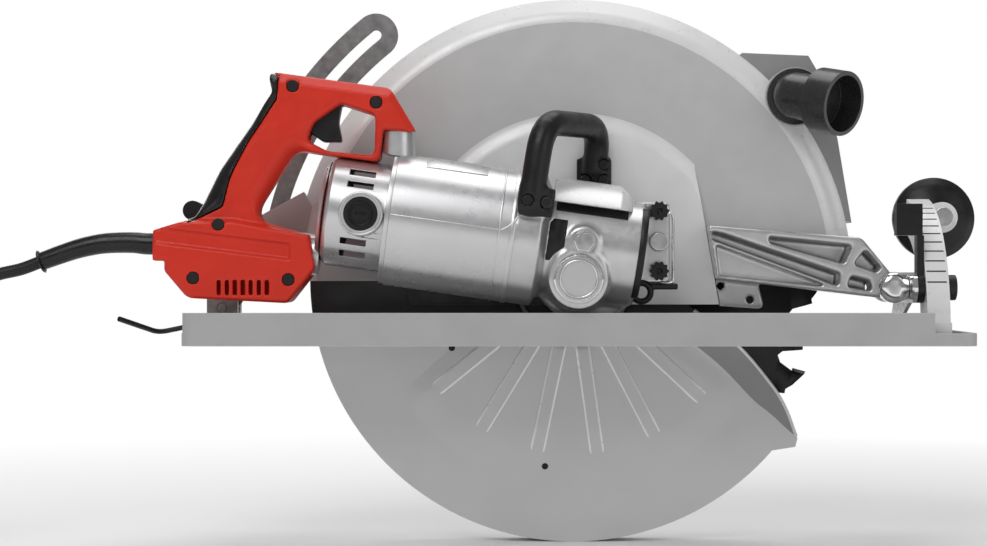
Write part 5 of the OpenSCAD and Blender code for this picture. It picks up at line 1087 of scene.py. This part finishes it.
# Floor: pale paper that goes over to plain white away from the saw, in metres
FLOOR_HALF = 9
PAPER, PAPER_ROUGH = grey(0.93), 0.9
WHITE_FROM, WHITE_TO = 0.55, 1.3
corners = [(x * FLOOR_HALF, y * FLOOR_HALF, FLOOR * MM) for x, y in ((-1, -1), (1, -1), (1, 1), (-1, 1))]
floor_mesh = bpy.data.meshes.new("floor")
floor_mesh.from_pydata(corners, [], [[0, 1, 2, 3]])
floor = bpy.data.objects.new("floor", floor_mesh)
scene.collection.objects.link(floor)
paper = bpy.data.materials.new("paper")
paper.use_nodes = True
tree = paper.node_tree
shader = tree.nodes["Principled BSDF"]
shader.inputs["Base Color"].default_value = (*PAPER, 1)
shader.inputs["Roughness"].default_value = PAPER_ROUGH
glow = add(tree, "ShaderNodeEmission")
blend = add(tree, "ShaderNodeMixShader")
away = add(tree, "ShaderNodeVectorMath", "LENGTH")
whiter = add(tree, "ShaderNodeMapRange", From_Min=WHITE_FROM, From_Max=WHITE_TO)
tree.links.new(add(tree, "ShaderNodeTexCoord").outputs["Object"], away.inputs[0])
tree.links.new(away.outputs["Value"], whiter.inputs["Value"])
tree.links.new(whiter.outputs["Result"], blend.inputs["Fac"])
tree.links.new(shader.outputs["BSDF"], blend.inputs[1])
tree.links.new(glow.outputs["Emission"], blend.inputs[2])
tree.links.new(blend.outputs["Shader"], tree.nodes["Material Output"].inputs["Surface"])
floor_mesh.materials.append(paper)

# Background: white to the camera, a dim even light to the object
AMBIENT = 0.26
world = bpy.data.worlds.new("studio")
scene.world = world
world.use_nodes = True
tree = world.node_tree
ambient = tree.nodes["Background"]
ambient.inputs["Color"].default_value = (*grey(1), 1)
ambient.inputs["Strength"].default_value = AMBIENT
white = add(tree, "ShaderNodeBackground", Color=(*grey(1), 1))
path = add(tree, "ShaderNodeLightPath")
blend = add(tree, "ShaderNodeMixShader")
tree.links.new(path.outputs["Is Camera Ray"], blend.inputs["Fac"])
tree.links.new(ambient.outputs["Background"], blend.inputs[1])
tree.links.new(white.outputs["Background"], blend.inputs[2])
tree.links.new(blend.outputs["Shader"], tree.nodes["World Output"].inputs["Surface"])

# Lamps: place in metres, width in metres and power in watts
LAMPS = {"key": ((-0.7, -1.6, 1.7), 1.4, 21), "fill": ((1.5, -1.4, 0.7), 1.2, 4.5),
         "top": ((0.1, 0.5, 1.9), 1.6, 17), "back": ((-0.8, 1.8, 0.9), 1.2, 9)}
LAMP_AIM = Vector((0, 0.05, 0.05))
for name, (at, size, power) in LAMPS.items():
    lamp = bpy.data.lights.new(name, "AREA")
    lamp.size = size
    lamp.energy = power
    lamp_at = bpy.data.objects.new(name, lamp)
    scene.collection.objects.link(lamp_at)
    lamp_at.location = at
    lamp_at.rotation_euler = (LAMP_AIM - Vector(at)).to_track_quat("-Z", "Y").to_euler()

scene.view_settings.view_transform = "Standard"
